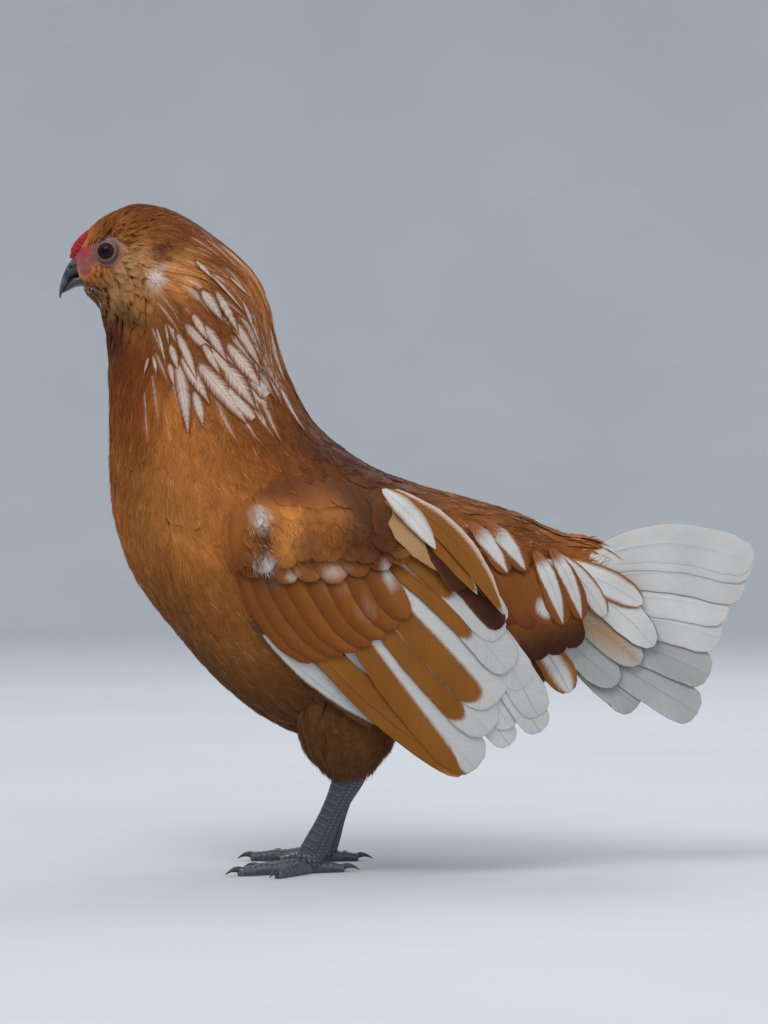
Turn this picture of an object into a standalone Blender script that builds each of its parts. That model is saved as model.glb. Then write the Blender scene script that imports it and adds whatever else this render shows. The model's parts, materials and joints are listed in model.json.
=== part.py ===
"""A life-size Antwerp Belgian bantam hen, standing.

The bird faces -X with its left side towards -Y, and its toes rest on Z = 0.
One closed form for head, neck and torso is described by sections that run from
the tail root to the bill. The parts are lengths of that form, so they meet face
to face with a thin gap. Everything else is set on it.
"""

import math

import bmesh
import bpy
import numpy as np
from mathutils import Matrix, Vector
from mathutils.bvhtree import BVHTree

MM = 0.001
GAP = 0.3 * MM
LEFT, RIGHT = -1, 1
OUTSIDE = 200 * MM

# Sections of the body in millimetres: back x, back z, belly x, belly z, half width,
# and how far the widest line lies below the middle, as a share of the depth.
BODY_SECTIONS = (
    (61.2, 133.2, 58.0, 77.0, 15.0, 0.02),
    (45.2, 140.8, 40.0, 67.6, 24.0, 0.03),
    (25.2, 147.0, 20.0, 59.6, 32.0, 0.04),
    (5.2, 152.6, -3.0, 53.4, 38.5, 0.05),
    (-12.8, 159.2, -26.8, 50.4, 42.0, 0.06),
    (-26.8, 168.4, -50.8, 57.6, 43.5, 0.07),
    (-36.4, 176.8, -72.8, 73.6, 43.0, 0.08),
    (-42.0, 185.2, -92.4, 95.6, 41.0, 0.07),
    (-46.0, 193.6, -108.0, 117.2, 38.0, 0.05),
    (-49.6, 202.4, -115.6, 139.2, 34.0, 0.02),
    (-52.4, 212.4, -117.6, 161.2, 30.0, 0.0),
    (-55.2, 224.4, -117.6, 183.2, 26.5, 0.0),
    (-60.4, 236.0, -118.4, 201.2, 24.0, 0.0),
    (-69.2, 245.6, -120.0, 214.0, 21.5, 0.0),
    (-80.8, 254.8, -122.0, 222.8, 19.0, 0.02),
    (-94.0, 262.4, -124.4, 226.4, 17.0, 0.04),
    (-106.8, 264.8, -126.4, 228.4, 15.0, 0.05),
    (-116.0, 262.0, -127.8, 230.0, 12.6, 0.04),
    (-123.2, 257.6, -128.6, 231.0, 9.8, 0.02),
    (-128.0, 252.0, -129.0, 231.8, 7.2, 0.0),
    (-132.4, 244.4, -129.2, 232.2, 5.2, 0.0),
)
NECK_CUT, HEAD_CUT, BILL_CUT = 9.0, 14.0, 20.0
NECK_GAP, HEAD_GAP = 0.036, 0.042
# Rings and sides that the lofted forms are built with.
TORSO_RINGS, TORSO_FORM_RINGS, NECK_RINGS, HEAD_RINGS = 20, 22, 11, 14
BODY_SIDES, THIGH_SIDES, SHANK_SIDES, FOOT_SIDES, TOE_SIDES, CLAW_SIDES = 24, 14, 10, 12, 8, 6
BILL_RINGS, BILL_SIDES, COMB_SIDES, RUMP_SIDES, LIMB_RINGS = 8, 10, 8, 16, 7

# How deep the coat lies over the flesh, in millimetres, by section.
HACKLE_DEPTH = ((8.6, 0.0), (9.8, 2.6), (12.6, 3.4), (14.2, 1.6), (15.4, 0.0))
BEARD_DEPTH = ((12.8, 0.0), (13.8, 2.0), (16.0, 2.6), (18.4, 1.6), (19.4, 0.0))

# Rows of a vane from root to tip: share of the length, share of the width, and share of the lift.
COVERT_VANE = ((0.0, 0.5, 0.0), (0.5, 0.95, 1.0), (0.84, 1.0, 1.0), (0.96, 0.62, 1.0), (1.0, 0.0, 1.0))
FLIGHT_VANE = ((0.0, 0.5, 0.0), (0.4, 0.9, 1.0), (0.9, 1.0, 1.0), (0.98, 0.6, 1.0), (1.0, 0.0, 1.0))
POINTED_VANE = ((0.0, 0.6, -0.6), (0.3, 1.0, 0.5), (0.7, 0.85, 0.9), (1.0, 0.0, 1.1))
VANE_THICK = 0.55 * MM

# Hackle tiers: root section, tip section at the back and at the side, count, width in metres.
HACKLE_TIERS = (
    (13.8, 10.4, 11.4, 7, 10.5 * MM),
    (12.7, 9.2, 10.6, 8, 11.5 * MM),
    (11.5, 8.0, 9.9, 9, 12.5 * MM),
    (10.2, 5.8, 9.0, 10, 13.0 * MM),
)
HACKLE_REACH, HACKLE_LIFT, HACKLE_NARROWING = 122.0, 2.2 * MM, 0.94
# How much the tips of one tier differ, in sections, and how fast that changes by feather and tier.
TIP_VARIATION, TIP_BY_FEATHER, TIP_BY_TIER = 0.18, 5.1, 2.3
# Beard and muff locks: root section, tip section, root angle, tip angle, width in metres.
FACE_LOCKS = (
    (18.2, 16.0, 168.0, 172.0, 6.0 * MM),
    (17.7, 15.3, 142.0, 150.0, 6.5 * MM),
    (17.0, 14.6, 116.0, 128.0, 7.0 * MM),
    (16.7, 14.0, 161.0, 165.0, 7.5 * MM),
    (16.1, 13.7, 136.0, 144.0, 7.5 * MM),
)
LOCK_LIFT = 1.8 * MM

EYE_CENTRE = Vector((-118.0, 10.6, 245.0)) * MM
EYE_RADIUS = 4.5 * MM
EYE_AIM = Vector((-0.25, 1.0, 0.08))
LID_RADIUS, LID_THICK, LID_OUT = 4.3 * MM, 0.8 * MM, 2.6 * MM
NOSTRIL, NOSTRIL_RADIUS = Vector((-134.0, 4.4, 239.6)) * MM, 0.9 * MM
GAPE_CORNER, GAPE_WIDTH, GAPE_TURN = Vector((-130.7, 0.0, 236.6)) * MM, 16.0 * MM, -24.0
COMB_POINTS, COMB_POINT_RADIUS = 4, 0.8 * MM
# Where the two rows of comb points start, how far they run in sections, and how they sit on the pad.
COMB_POINT_START, COMB_POINT_RUN, COMB_POINT_ASIDE = 0.7, 2.5, 0.45
COMB_POINT_BACK, COMB_POINT_SUNK = 0.2, 0.3
GAPE_DEPTH, GAPE_HEIGHT = 5.0 * MM, 0.5 * MM

# Bill sections in millimetres, base to tip: ridge x, ridge z, edge x, edge z, half width.
UPPER_BILL = (
    (-133.2, 243.4, -130.5, 237.0, 4.9),
    (-135.2, 240.4, -133.0, 235.6, 4.4),
    (-137.0, 236.8, -134.6, 233.6, 3.4),
    (-138.2, 232.6, -136.2, 231.2, 2.3),
    (-138.6, 229.8, -137.4, 229.2, 1.3),
    (-138.4, 227.6, -138.0, 227.5, 0.4),
)
LOWER_BILL = (
    (-130.9, 236.2, -129.6, 232.3, 4.3),
    (-132.9, 234.9, -131.8, 231.4, 3.8),
    (-134.6, 232.9, -133.8, 230.5, 2.9),
    (-136.1, 230.6, -135.6, 229.6, 1.7),
    (-136.9, 229.1, -136.8, 229.0, 0.5),
)
# Comb sections in millimetres, front to rear: top x, top z, bottom x, bottom z, half width.
COMB = (
    (-134.0, 244.8, -131.6, 244.0, 1.6),
    (-133.4, 247.6, -130.4, 246.2, 2.7),
    (-131.2, 250.6, -128.4, 248.6, 3.1),
    (-128.6, 253.2, -126.4, 250.8, 2.5),
    (-126.4, 254.8, -125.0, 253.2, 1.0),
)

# Thigh sections in millimetres, body to hock: front x, front z, rear x, rear z, half width, y.
THIGH = (
    (-42.0, 74.0, -2.0, 74.0, 15.0, 21.0),
    (-42.6, 60.0, -3.0, 60.0, 15.0, 22.0),
    (-39.6, 49.0, -6.0, 50.0, 12.8, 22.4),
    (-33.4, 41.6, -11.0, 43.6, 9.2, 22.4),
    (-29.2, 38.2, -14.4, 39.8, 6.4, 22.2),
)

# Each leg: side, the hock, the ball of the foot, and its forward turn in degrees.
LEGS = {
    "left": (LEFT, Vector((-21.8, -22.2, 38.6)) * MM, Vector((-38.0, -21.0, 5.2)) * MM, 24.0),
    "right": (RIGHT, Vector((-21.8, 22.2, 38.6)) * MM, Vector((-33.0, 21.5, 5.2)) * MM, 4.0),
}
SHANK_RADII = (5.2, 4.5, 4.1, 4.0, 4.1, 4.5)
SHANK_SCUTES = 9
SHANK_ABOVE, SHANK_SHORT, SHANK_DEEP, SHANK_WIDE = 2.0 * MM, 3.6 * MM, 1.08, 0.9
SCUTE_STEP, SCUTE_RISE, SHANK_RISE = 0.35 * MM, 0.85, 0.9
# The ball of the foot: heights from its middle and radii, in millimetres, under the shank's end.
CUFF_RADIUS, FOOT_SECTIONS = 4.5 * MM, ((0.6, 4.9), (-2.6, 5.0), (-5.2, 4.0))
# Each toe: angle from the foot's own forward, length, radius at the root, scutes,
# and how many of the scutes lie on the foot.
TOES = {
    "inner": (-38.0, 22.0 * MM, 3.1 * MM, 5, 3),
    "middle": (0.0, 30.0 * MM, 3.4 * MM, 7, 3),
    "outer": (36.0, 24.0 * MM, 3.1 * MM, 6, 3),
    "hind": (168.0, 14.0 * MM, 2.9 * MM, 4, 3),
}
# How much a toe narrows, how high its middle lies over the floor, and the arch of its joints.
TOE_NARROWING, TOE_HEIGHT, TOE_ARCH, TOE_ARCHES = 0.42, 0.7, 0.5 * MM, 3
# The claw: length, rings, radius at the root, narrowing, height over the toe, fall to its tip, and the
# least height of its middle.
CLAW_LENGTH, CLAW_RINGS, CLAW_ROOT, CLAW_NARROWING = 6.5 * MM, 5, 0.72, 0.86
CLAW_HEIGHT, CLAW_OVER_TOE, CLAW_FALL, CLAW_LEAST = 0.9 * MM, 0.4, 1.4 * MM, 0.9

COLOURS = {
    "flesh_feather": ((0.45, 0.19, 0.05), 0.75),
    "hackle": ((0.50, 0.24, 0.09), 0.7),
    "wing": ((0.52, 0.27, 0.11), 0.65),
    "tail": ((0.74, 0.71, 0.67), 0.65),
    "shank": ((0.09, 0.10, 0.12), 0.45),
    "claw": ((0.14, 0.12, 0.11), 0.4),
    "bill": ((0.12, 0.12, 0.14), 0.35),
    "comb": ((0.55, 0.03, 0.05), 0.5),
    "eye": ((0.10, 0.03, 0.01), 0.08),
}


def spline_row(rows, t):
    """The row at fractional index t, on a smooth curve through all the rows."""
    rows = np.asarray(rows, float)
    last = len(rows) - 1
    i = int(min(max(math.floor(t), 0), last - 1))
    f = t - i
    before = rows[max(i - 1, 0)] if i > 0 else 2 * rows[0] - rows[1]
    after = rows[i + 2] if i + 2 <= last else 2 * rows[last] - rows[last - 1]
    a, b = rows[i], rows[i + 1]
    slope_a, slope_b = (b - before) / 2, (after - a) / 2
    return (
        a * (1 + f * f * (2 * f - 3))
        + b * (f * f * (3 - 2 * f))
        + slope_a * (f * (1 - f) ** 2)
        + slope_b * (f * f * (f - 1))
    )


def section_point(row, angle, grow=0.0, y_centre=0.0):
    """A point of one section: angle 0 is the back or front end, 180 the other. Metres."""
    top = Vector((row[0], 0, row[1])) * MM
    bottom = Vector((row[2], 0, row[3])) * MM
    along = (bottom - top).normalized()
    top, bottom = top - along * grow, bottom + along * grow
    c, s = math.cos(math.radians(angle)), math.sin(math.radians(angle))
    low = row[5] if len(row) > 5 else 0.0
    share = (1 - c) / 2 + low * s * s
    point = top.lerp(bottom, share)
    point.y = y_centre + (row[4] * MM + grow) * s
    return point


def spaced_rows(rows, count):
    """Rows evenly spaced on the smooth curve through all of them."""
    return [spline_row(rows, (len(rows) - 1) * k / (count - 1)) for k in range(count)]


def section_ring(row, sides, grow=0.0, y_centre=0.0):
    return [section_point(row, 360.0 * k / sides, grow, y_centre) for k in range(sides)]


def body_point(t, angle, lift=0.0):
    """A point over the body's outline at section t. Angle 0 is the back, 90 the right side."""
    here = section_point(spline_row(BODY_SECTIONS, t), angle)
    ahead = section_point(spline_row(BODY_SECTIONS, t + 0.05), angle)
    round_it = section_point(spline_row(BODY_SECTIONS, t), angle + 2.0)
    normal = (ahead - here).cross(round_it - here)
    return here - normal.normalized() * lift


def coat_depth(t, angle):
    """How far the flesh lies inside the outline, where long feathers or locks cover it."""
    stations, depths = zip(*HACKLE_DEPTH)
    hackle = float(np.interp(t, stations, depths))
    low = (1 - math.cos(math.radians(angle))) / 2
    stations, depths = zip(*BEARD_DEPTH)
    beard = float(np.interp(t, stations, depths)) * low
    return (hackle + beard) * MM


def body_rings(start, end, count, grow=0.0):
    rings = []
    for k in range(count):
        t = start + (end - start) * k / (count - 1)
        row = spline_row(BODY_SECTIONS, t)
        angles = [360.0 * n / BODY_SIDES for n in range(BODY_SIDES)]
        rings.append([section_point(row, angle, grow - coat_depth(t, angle)) for angle in angles])
    return rings


def loft_mesh(rings):
    """A closed surface through rings of equal length, capped at both ends, facing out."""
    mesh = bmesh.new()
    rows = [[mesh.verts.new(point) for point in ring] for ring in rings]
    for lower, upper in zip(rows, rows[1:]):
        for k in range(len(lower)):
            n = (k + 1) % len(lower)
            mesh.faces.new((lower[k], lower[n], upper[n], upper[k]))
    mesh.faces.new(reversed(rows[0]))
    mesh.faces.new(rows[-1])
    bmesh.ops.recalc_face_normals(mesh, faces=mesh.faces)
    return mesh


def vane_mesh(rows, thick):
    """A thin blade: a strip of triangles through rows of points, thickened alike on both faces."""
    mesh = bmesh.new()
    made = [[mesh.verts.new(point) for point in row] for row in rows]
    for lower, upper in zip(made, made[1:]):
        last = len(upper) - 1
        for k in range(len(lower) - 1):
            near, far = upper[min(k, last)], upper[min(k + 1, last)]
            mesh.faces.new((lower[k], lower[k + 1], far))
            if near is not far:
                mesh.faces.new((lower[k], far, near))
    bmesh.ops.recalc_face_normals(mesh, faces=mesh.faces)
    bmesh.ops.solidify(mesh, geom=mesh.faces[:], thickness=thick)
    bmesh.ops.recalc_face_normals(mesh, faces=mesh.faces)
    return mesh


def sheet_vane(surface, root, tip, width, lift, sink, tilt, bow, shape):
    """Rows of a feather laid on a surface that gives a point for (x, z, lift).

    The root starts at the height sink and the rest lies at lift. The tilt raises the
    lower edge and sinks the upper one, so that a row of feathers lies like tiles.
    The bow bends the shaft sideways by that share of its length.
    """
    run = tip - root
    across = Vector((-run.y, run.x)).normalized()
    if across.y < 0:
        across = -across
    rows = []
    for share, wide, risen in shape:
        centre = root + run * share + across * (bow * run.length * math.sin(math.pi * share))
        row = []
        for u in (-1, 0, 1) if wide else (0,):
            aside = u * wide * width / 2
            spot = centre + across * aside
            row.append(surface(spot.x, spot.y, sink + (lift - sink) * risen - tilt * aside))
        rows.append(row)
    return rows


def body_vane(root_t, tip_t, root_angle, tip_angle, width, lift, shape):
    """Rows of a feather laid along the body from one section and angle to another."""
    rows = []
    for share, wide, risen in shape:
        t = root_t + (tip_t - root_t) * share
        angle = root_angle + (tip_angle - root_angle) * share
        depth = coat_depth(t, angle)
        middle = body_point(t, angle, lift * risen - depth * (1 - share))
        beside = body_point(t, angle + 1.0, lift * risen - depth * (1 - share))
        across = (beside - middle).normalized()
        rows.append([middle + across * (u * wide * width / 2) for u in ((-1, 0, 1) if wide else (0,))])
    return rows


def place(name, mesh, kind, collection):
    """Turns a bmesh into an object of the given kind of surface."""
    data = bpy.data.meshes.new(name)
    mesh.to_mesh(data)
    mesh.free()
    obj = bpy.data.objects.new(name, data)
    data.materials.append(material(kind))
    data.shade_smooth()
    data.set_sharp_from_angle(angle=math.radians(45))
    collection.objects.link(obj)
    return obj


def material(kind):
    found = bpy.data.materials.get(kind)
    if found:
        return found
    colour, roughness = COLOURS[kind]
    made = bpy.data.materials.new(kind)
    made.use_nodes = True
    shader = made.node_tree.nodes["Principled BSDF"]
    shader.inputs["Base Color"].default_value = (*colour, 1.0)
    shader.inputs["Roughness"].default_value = roughness
    return made


def apply_modifiers(obj):
    bpy.context.view_layer.update()
    graph = bpy.context.evaluated_depsgraph_get()
    data = bpy.data.meshes.new_from_object(obj.evaluated_get(graph))
    obj.modifiers.clear()
    obj.data = data


def keep_largest(obj):
    """Drops every closed surface of the mesh but the one that holds the most."""
    mesh = bmesh.new()
    mesh.from_mesh(obj.data)
    bmesh.ops.triangulate(mesh, faces=mesh.faces)
    left, shells = set(mesh.faces), []
    while left:
        shell, edge = set(), [left.pop()]
        while edge:
            face = edge.pop()
            shell.add(face)
            near = {f for e in face.edges for f in e.link_faces} & left
            left -= near
            edge.extend(near)
        shells.append(shell)
    if len(shells) > 1:
        shells.sort(key=lambda shell: abs(shell_volume(shell)))
        loose = [face for shell in shells[:-1] for face in shell]
        bmesh.ops.delete(mesh, geom=loose, context="FACES")
    mesh.to_mesh(obj.data)
    mesh.free()


def shell_volume(faces):
    total = 0.0
    for face in faces:
        a, b, c = (v.co for v in face.verts)
        total += a.dot(b.cross(c))
    return total / 6


def fuse(obj, pieces, cutters=()):
    """Joins the pieces to the object, cuts it clear of the cutters and keeps one closed body."""
    if pieces:
        group = bpy.data.collections.new(obj.name + "_pieces")
        bpy.context.scene.collection.children.link(group)
        for piece in pieces:
            for owner in list(piece.users_collection):
                owner.objects.unlink(piece)
            group.objects.link(piece)
        join = obj.modifiers.new("join", "BOOLEAN")
        join.operation, join.operand_type, join.solver = "UNION", "COLLECTION", "MANIFOLD"
        join.collection = group
        apply_modifiers(obj)
        for piece in pieces:
            bpy.data.objects.remove(piece)
        bpy.data.collections.remove(group)
    for cutter in cutters:
        cut = obj.modifiers.new("cut", "BOOLEAN")
        cut.operation, cut.solver, cut.object = "DIFFERENCE", "MANIFOLD", cutter
        apply_modifiers(obj)
    keep_largest(obj)
    return obj


def cutter(name, mesh, cutters):
    obj = bpy.data.objects.new(name, bpy.data.meshes.new(name))
    mesh.to_mesh(obj.data)
    mesh.free()
    obj.hide_render = True
    obj.display_type = "WIRE"
    cutters.objects.link(obj)
    return obj


def ball(radius, centre, segments=16, rings=10):
    mesh = bmesh.new()
    turn = Matrix.Rotation(math.radians(90), 4, "X")
    bmesh.ops.create_uvsphere(
        mesh, u_segments=segments, v_segments=rings, radius=radius, matrix=Matrix.Translation(centre) @ turn
    )
    return mesh


def torus(radius, thick, centre, axis, steps=14, sides=6):
    """A ring of round section whose hole faces along the axis."""
    mesh = bmesh.new()
    start = Matrix.Translation(Vector((radius, 0, 0))) @ Matrix.Rotation(math.radians(90), 4, "X")
    made = bmesh.ops.create_circle(mesh, segments=sides, radius=thick, matrix=start)
    edges = list({edge for v in made["verts"] for edge in v.link_edges})
    bmesh.ops.spin(
        mesh, geom=edges, angle=math.tau, steps=steps, axis=(0, 0, 1), cent=(0, 0, 0), use_merge=True
    )
    bmesh.ops.recalc_face_normals(mesh, faces=mesh.faces)
    turn = Vector(axis).to_track_quat("Z", "Y").to_matrix().to_4x4()
    bmesh.ops.transform(mesh, matrix=Matrix.Translation(centre) @ turn, verts=mesh.verts)
    return mesh


def build_torso(bird):
    return place("torso", loft_mesh(body_rings(0.0, NECK_CUT, TORSO_RINGS)), "flesh_feather", bird)


def build_neck(bird, forms):
    """The neck with its hackle: tiers of pointed feathers from nape to shoulders."""
    neck = place("neck", loft_mesh(body_rings(NECK_CUT + NECK_GAP, HEAD_CUT, NECK_RINGS)), "hackle", bird)
    vanes = []
    for tier, (root_t, back_t, side_t, count, width) in enumerate(HACKLE_TIERS):
        for k in range(count):
            place_round = 2 * (k + 0.5) / count - 1
            angle = HACKLE_REACH * (place_round + (0.5 / count if tier % 2 else -0.5 / count))
            away = abs(math.sin(math.radians(angle))) ** 0.8
            varied = TIP_VARIATION * math.sin(TIP_BY_FEATHER * k + TIP_BY_TIER * tier)
            tip_t = back_t + (side_t - back_t) * away + varied
            rows = body_vane(root_t, tip_t, angle, angle * HACKLE_NARROWING, width, HACKLE_LIFT, POINTED_VANE)
            vanes.append(place(f"hackle{tier}_{k}", vane_mesh(rows, VANE_THICK), "hackle", bird))
    return fuse(neck, vanes, forms)


def to_side(point, side):
    return Vector((point.x, side * point.y, point.z))


def build_head(bird, cutters, forms):
    """The head with sockets for the eyes, raised lids and the slit of the gape."""
    head = place("head", loft_mesh(body_rings(HEAD_CUT + HEAD_GAP, BILL_CUT, HEAD_RINGS)), "flesh_feather", bird)
    lids, sockets = [], []
    for side in (LEFT, RIGHT):
        centre, outward = to_side(EYE_CENTRE, side), to_side(EYE_AIM, side).normalized()
        ring = torus(LID_RADIUS, LID_THICK, centre + outward * LID_OUT, outward)
        lids.append(place(f"lid{side}", ring, "flesh_feather", bird))
        for k, (root_t, tip_t, root_angle, tip_angle, width) in enumerate(FACE_LOCKS):
            rows = body_vane(root_t, tip_t, side * root_angle, side * tip_angle, width, LOCK_LIFT, POINTED_VANE)
            lids.append(place(f"lock{k}{side}", vane_mesh(rows, VANE_THICK), "flesh_feather", bird))
        sockets.append(cutter(f"socket{side}", ball(EYE_RADIUS + GAP, centre), cutters))
    return fuse(head, lids, [*sockets, gape_cutter(cutters), *forms])


def gape_cutter(cutters):
    """A thin wedge that carries the line of the mouth back into the face."""
    mesh = bmesh.new()
    size = Matrix.Diagonal((2 * GAPE_DEPTH, GAPE_WIDTH, GAPE_HEIGHT, 1))
    turn = Matrix.Rotation(math.radians(GAPE_TURN), 4, "Y")
    bmesh.ops.create_cube(mesh, size=1.0, matrix=Matrix.Translation(GAPE_CORNER) @ turn @ size)
    return cutter("gape", mesh, cutters)


def build_bill(bird, cutters):
    nostrils = []
    for side in (LEFT, RIGHT):
        hole = ball(NOSTRIL_RADIUS, to_side(NOSTRIL, side), 10, 6)
        nostrils.append(cutter(f"nostril{side}", hole, cutters))
    for name, rows, holes in (("bill_upper", UPPER_BILL, nostrils), ("bill_lower", LOWER_BILL, ())):
        rings = [section_ring(row, BILL_SIDES) for row in spaced_rows(rows, BILL_RINGS)]
        fuse(place(name, loft_mesh(rings), "bill", bird), (), holes)


def build_comb(bird, head_form):
    """A low rose comb: a narrow pad with two rows of small rounded points."""
    rings = [section_ring(row, COMB_SIDES) for row in spaced_rows(COMB, LIMB_RINGS)]
    pad = place("comb", loft_mesh(rings), "comb", bird)
    points = []
    for k in range(COMB_POINTS):
        row = spline_row(COMB, COMB_POINT_START + COMB_POINT_RUN * k / (COMB_POINTS - 1))
        for side in (LEFT, RIGHT):
            aside = side * COMB_POINT_ASIDE * row[4]
            at = Vector((row[0] + COMB_POINT_BACK, aside, row[1] - COMB_POINT_SUNK)) * MM
            points.append(place(f"comb_point{k}{side}", ball(COMB_POINT_RADIUS, at, 6, 4), "comb", bird))
    return fuse(pad, points, [head_form])


def build_eyes(bird):
    for name, side in (("eye_left", LEFT), ("eye_right", RIGHT)):
        place(name, ball(EYE_RADIUS, to_side(EYE_CENTRE, side)), "eye", bird)


def leg_axes(hock, ball_of_foot):
    down = (ball_of_foot - hock).normalized()
    aside = Vector((0, 1, 0))
    ahead = aside.cross(down).normalized()
    if ahead.x > 0:
        ahead = -ahead
    return down, ahead, aside


def build_thigh(bird, name, side, forms):
    rings = []
    for row in spaced_rows(THIGH, LIMB_RINGS):
        rings.append(section_ring((*row[:5], 0.0), THIGH_SIDES, 0.0, side * row[5] * MM))
    thigh = place(f"thigh_{name}", loft_mesh(rings), "flesh_feather", bird)
    return fuse(thigh, (), forms)


def shank_mesh(hock, ball_of_foot, grow=0.0):
    """The scaly shank: overlapping front scutes raised in its own surface."""
    down, ahead, aside = leg_axes(hock, ball_of_foot)
    length = (ball_of_foot - hock).length
    top, end = -SHANK_ABOVE - grow, length - SHANK_SHORT + grow
    rings = []
    for k in range(SHANK_SCUTES):
        for part, raised in ((0.0, 0.0), (SHANK_RISE, 1.0)):
            share = (k + part) / SHANK_SCUTES
            centre = hock + down * (top + (end - top) * share)
            radius = spline_row([[r] for r in SHANK_RADII], share * (len(SHANK_RADII) - 1))[0] * MM
            rings.append(shank_ring(centre, ahead, aside, radius + grow, raised * SCUTE_STEP, SHANK_SIDES))
    return loft_mesh(rings)


def shank_ring(centre, ahead, aside, radius, raised, sides):
    ring = []
    for k in range(sides):
        turn = math.tau * k / sides
        front = max(0.0, math.cos(turn))
        reach = radius + raised * front
        deep, wide = SHANK_DEEP * reach * math.cos(turn), SHANK_WIDE * reach * math.sin(turn)
        ring.append(centre + ahead * deep + aside * wide)
    return ring


def toe_frame(ball_of_foot, side, turn, angle):
    """Where a toe leaves the foot and which way it points along the floor."""
    heading = math.radians(turn + angle) * (1 if side == LEFT else -1)
    forward = Vector((-math.cos(heading), -math.sin(heading), 0))
    return Vector((ball_of_foot.x, ball_of_foot.y, 0)), forward


def toe_centre(root, forward, distance, radius, lift):
    return root + forward * distance + Vector((0, 0, TOE_HEIGHT * radius + lift))


def toe_radius(share, radius):
    return radius * (1 - TOE_NARROWING * share)


def toe_ring(centre, forward, radius, raised, sides):
    """A round section with a flat sole on the floor."""
    aside = Vector((0, 0, 1)).cross(forward)
    ring = []
    for k in range(sides):
        turn = math.tau * k / sides
        up = math.sin(turn)
        reach = radius + raised * max(0.0, up)
        point = centre + aside * (reach * math.cos(turn)) + Vector((0, 0, reach * up))
        point.z = max(point.z, 0.0)
        ring.append(point)
    return ring


def toe_mesh(root, forward, length, radius, scutes, first, last):
    """A length of toe, from one scute to another, with a step at each and a slight arch."""
    pitch = length / (scutes + 1)
    start = pitch * (first - 1 + SCUTE_RISE) + GAP if first else 0.0
    rings = []
    for k in range(first, last):
        for part, raised in ((0.0, 0.0), (SCUTE_RISE, SCUTE_STEP)):
            distance = max(start, pitch * (k + part))
            share = distance / length
            joints = (1 + math.cos(TOE_ARCHES * math.tau * share)) / 2
            arch = TOE_ARCH * math.sin(math.pi * min(1.0, share * 1.1)) * joints
            size = toe_radius(share, radius)
            centre = toe_centre(root, forward, distance, size, arch)
            rings.append(toe_ring(centre, forward, size, raised, TOE_SIDES))
    return loft_mesh(rings)


def claw_mesh(root, forward, length, radius, scutes):
    """A curved claw that grows from the toe's end and points down to the floor."""
    start = length * (1 - (1 - SCUTE_RISE) / (scutes + 1)) + GAP
    base = toe_radius(1.0, radius)
    rings = []
    for k in range(CLAW_RINGS):
        share = k / (CLAW_RINGS - 1)
        size = base * CLAW_ROOT * (1 - CLAW_NARROWING * share)
        rise = CLAW_HEIGHT + base * CLAW_OVER_TOE - CLAW_FALL * share * share
        centre = root + forward * (start + CLAW_LENGTH * share) + Vector((0, 0, max(rise, size * CLAW_LEAST)))
        rings.append(toe_ring(centre, forward, size, 0.0, CLAW_SIDES))
    return loft_mesh(rings)


def build_foot(bird, name, side, hock, ball_of_foot, turn):
    """The ball of the foot with its four toes, and each claw as a part of its own."""
    down, ahead, aside = leg_axes(hock, ball_of_foot)
    length = (ball_of_foot - hock).length
    cuff_top = hock + down * (length - SHANK_SHORT + GAP)
    rings = [shank_ring(cuff_top, ahead, aside, CUFF_RADIUS, 0.0, FOOT_SIDES)]
    for height, radius in FOOT_SECTIONS:
        centre = ball_of_foot + Vector((0, 0, height)) * MM
        facing = ahead if height > 0 else Vector((-1, 0, 0))
        rings.append(shank_ring(centre, facing, aside, radius * MM, 0.0, FOOT_SIDES))
    foot = place(f"foot_{name}", loft_mesh(rings), "shank", bird)
    stubs = []
    for toe, (angle, toe_length, radius, scutes, stub) in TOES.items():
        root, forward = toe_frame(ball_of_foot, side, turn, angle)
        stubs.append(place("stub", toe_mesh(root, forward, toe_length, radius, scutes, 0, stub), "shank", bird))
        rest = toe_mesh(root, forward, toe_length, radius, scutes, stub, scutes + 1)
        place(f"toe_{name}_{toe}", rest, "shank", bird)
        claw = claw_mesh(root, forward, toe_length, radius, scutes)
        place(f"claw_{name}_{toe}", claw, "claw", bird)
    return fuse(foot, stubs)


# The arm inside the folded wing, in millimetres: upper and lower edge from shoulder to elbow.
ARM_UPPER = ((-66.1, 155.5), (-48.4, 160.3), (-25.3, 156.4), (-6.1, 146.8), (5.4, 136.2))
ARM_LOWER = ((-65.3, 149.7), (-61.9, 118.9), (-48.4, 97.8), (-21.5, 98.7), (5.4, 117.0))
# The side's width under the wing, in millimetres, at a few places along x.
WING_WIDTH = ((-80.0, 36.0), (-55.0, 42.0), (-25.0, 45.0), (5.0, 42.0), (30.0, 34.0), (60.0, 25.0))
WING_BOW_UP, WING_BOW_DOWN = 62.0, 125.0
WING_MIDDLE, WING_FALL = 112.0, 0.35
ARM_EDGE, ARM_THICK, ARM_ACROSS, ARM_ALONG = 0.6, 4.4, 5, 9
# The least share of the width that the wing keeps at its edges, and how closely it follows the body.
WING_LEAST, WING_BLEND = 0.05, 8
# How much the tips differ from their curve, and how fast that changes from feather to feather.
TIP_WOBBLE, WOBBLE_BY_FEATHER = 0.5 * MM, 7.3
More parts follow.
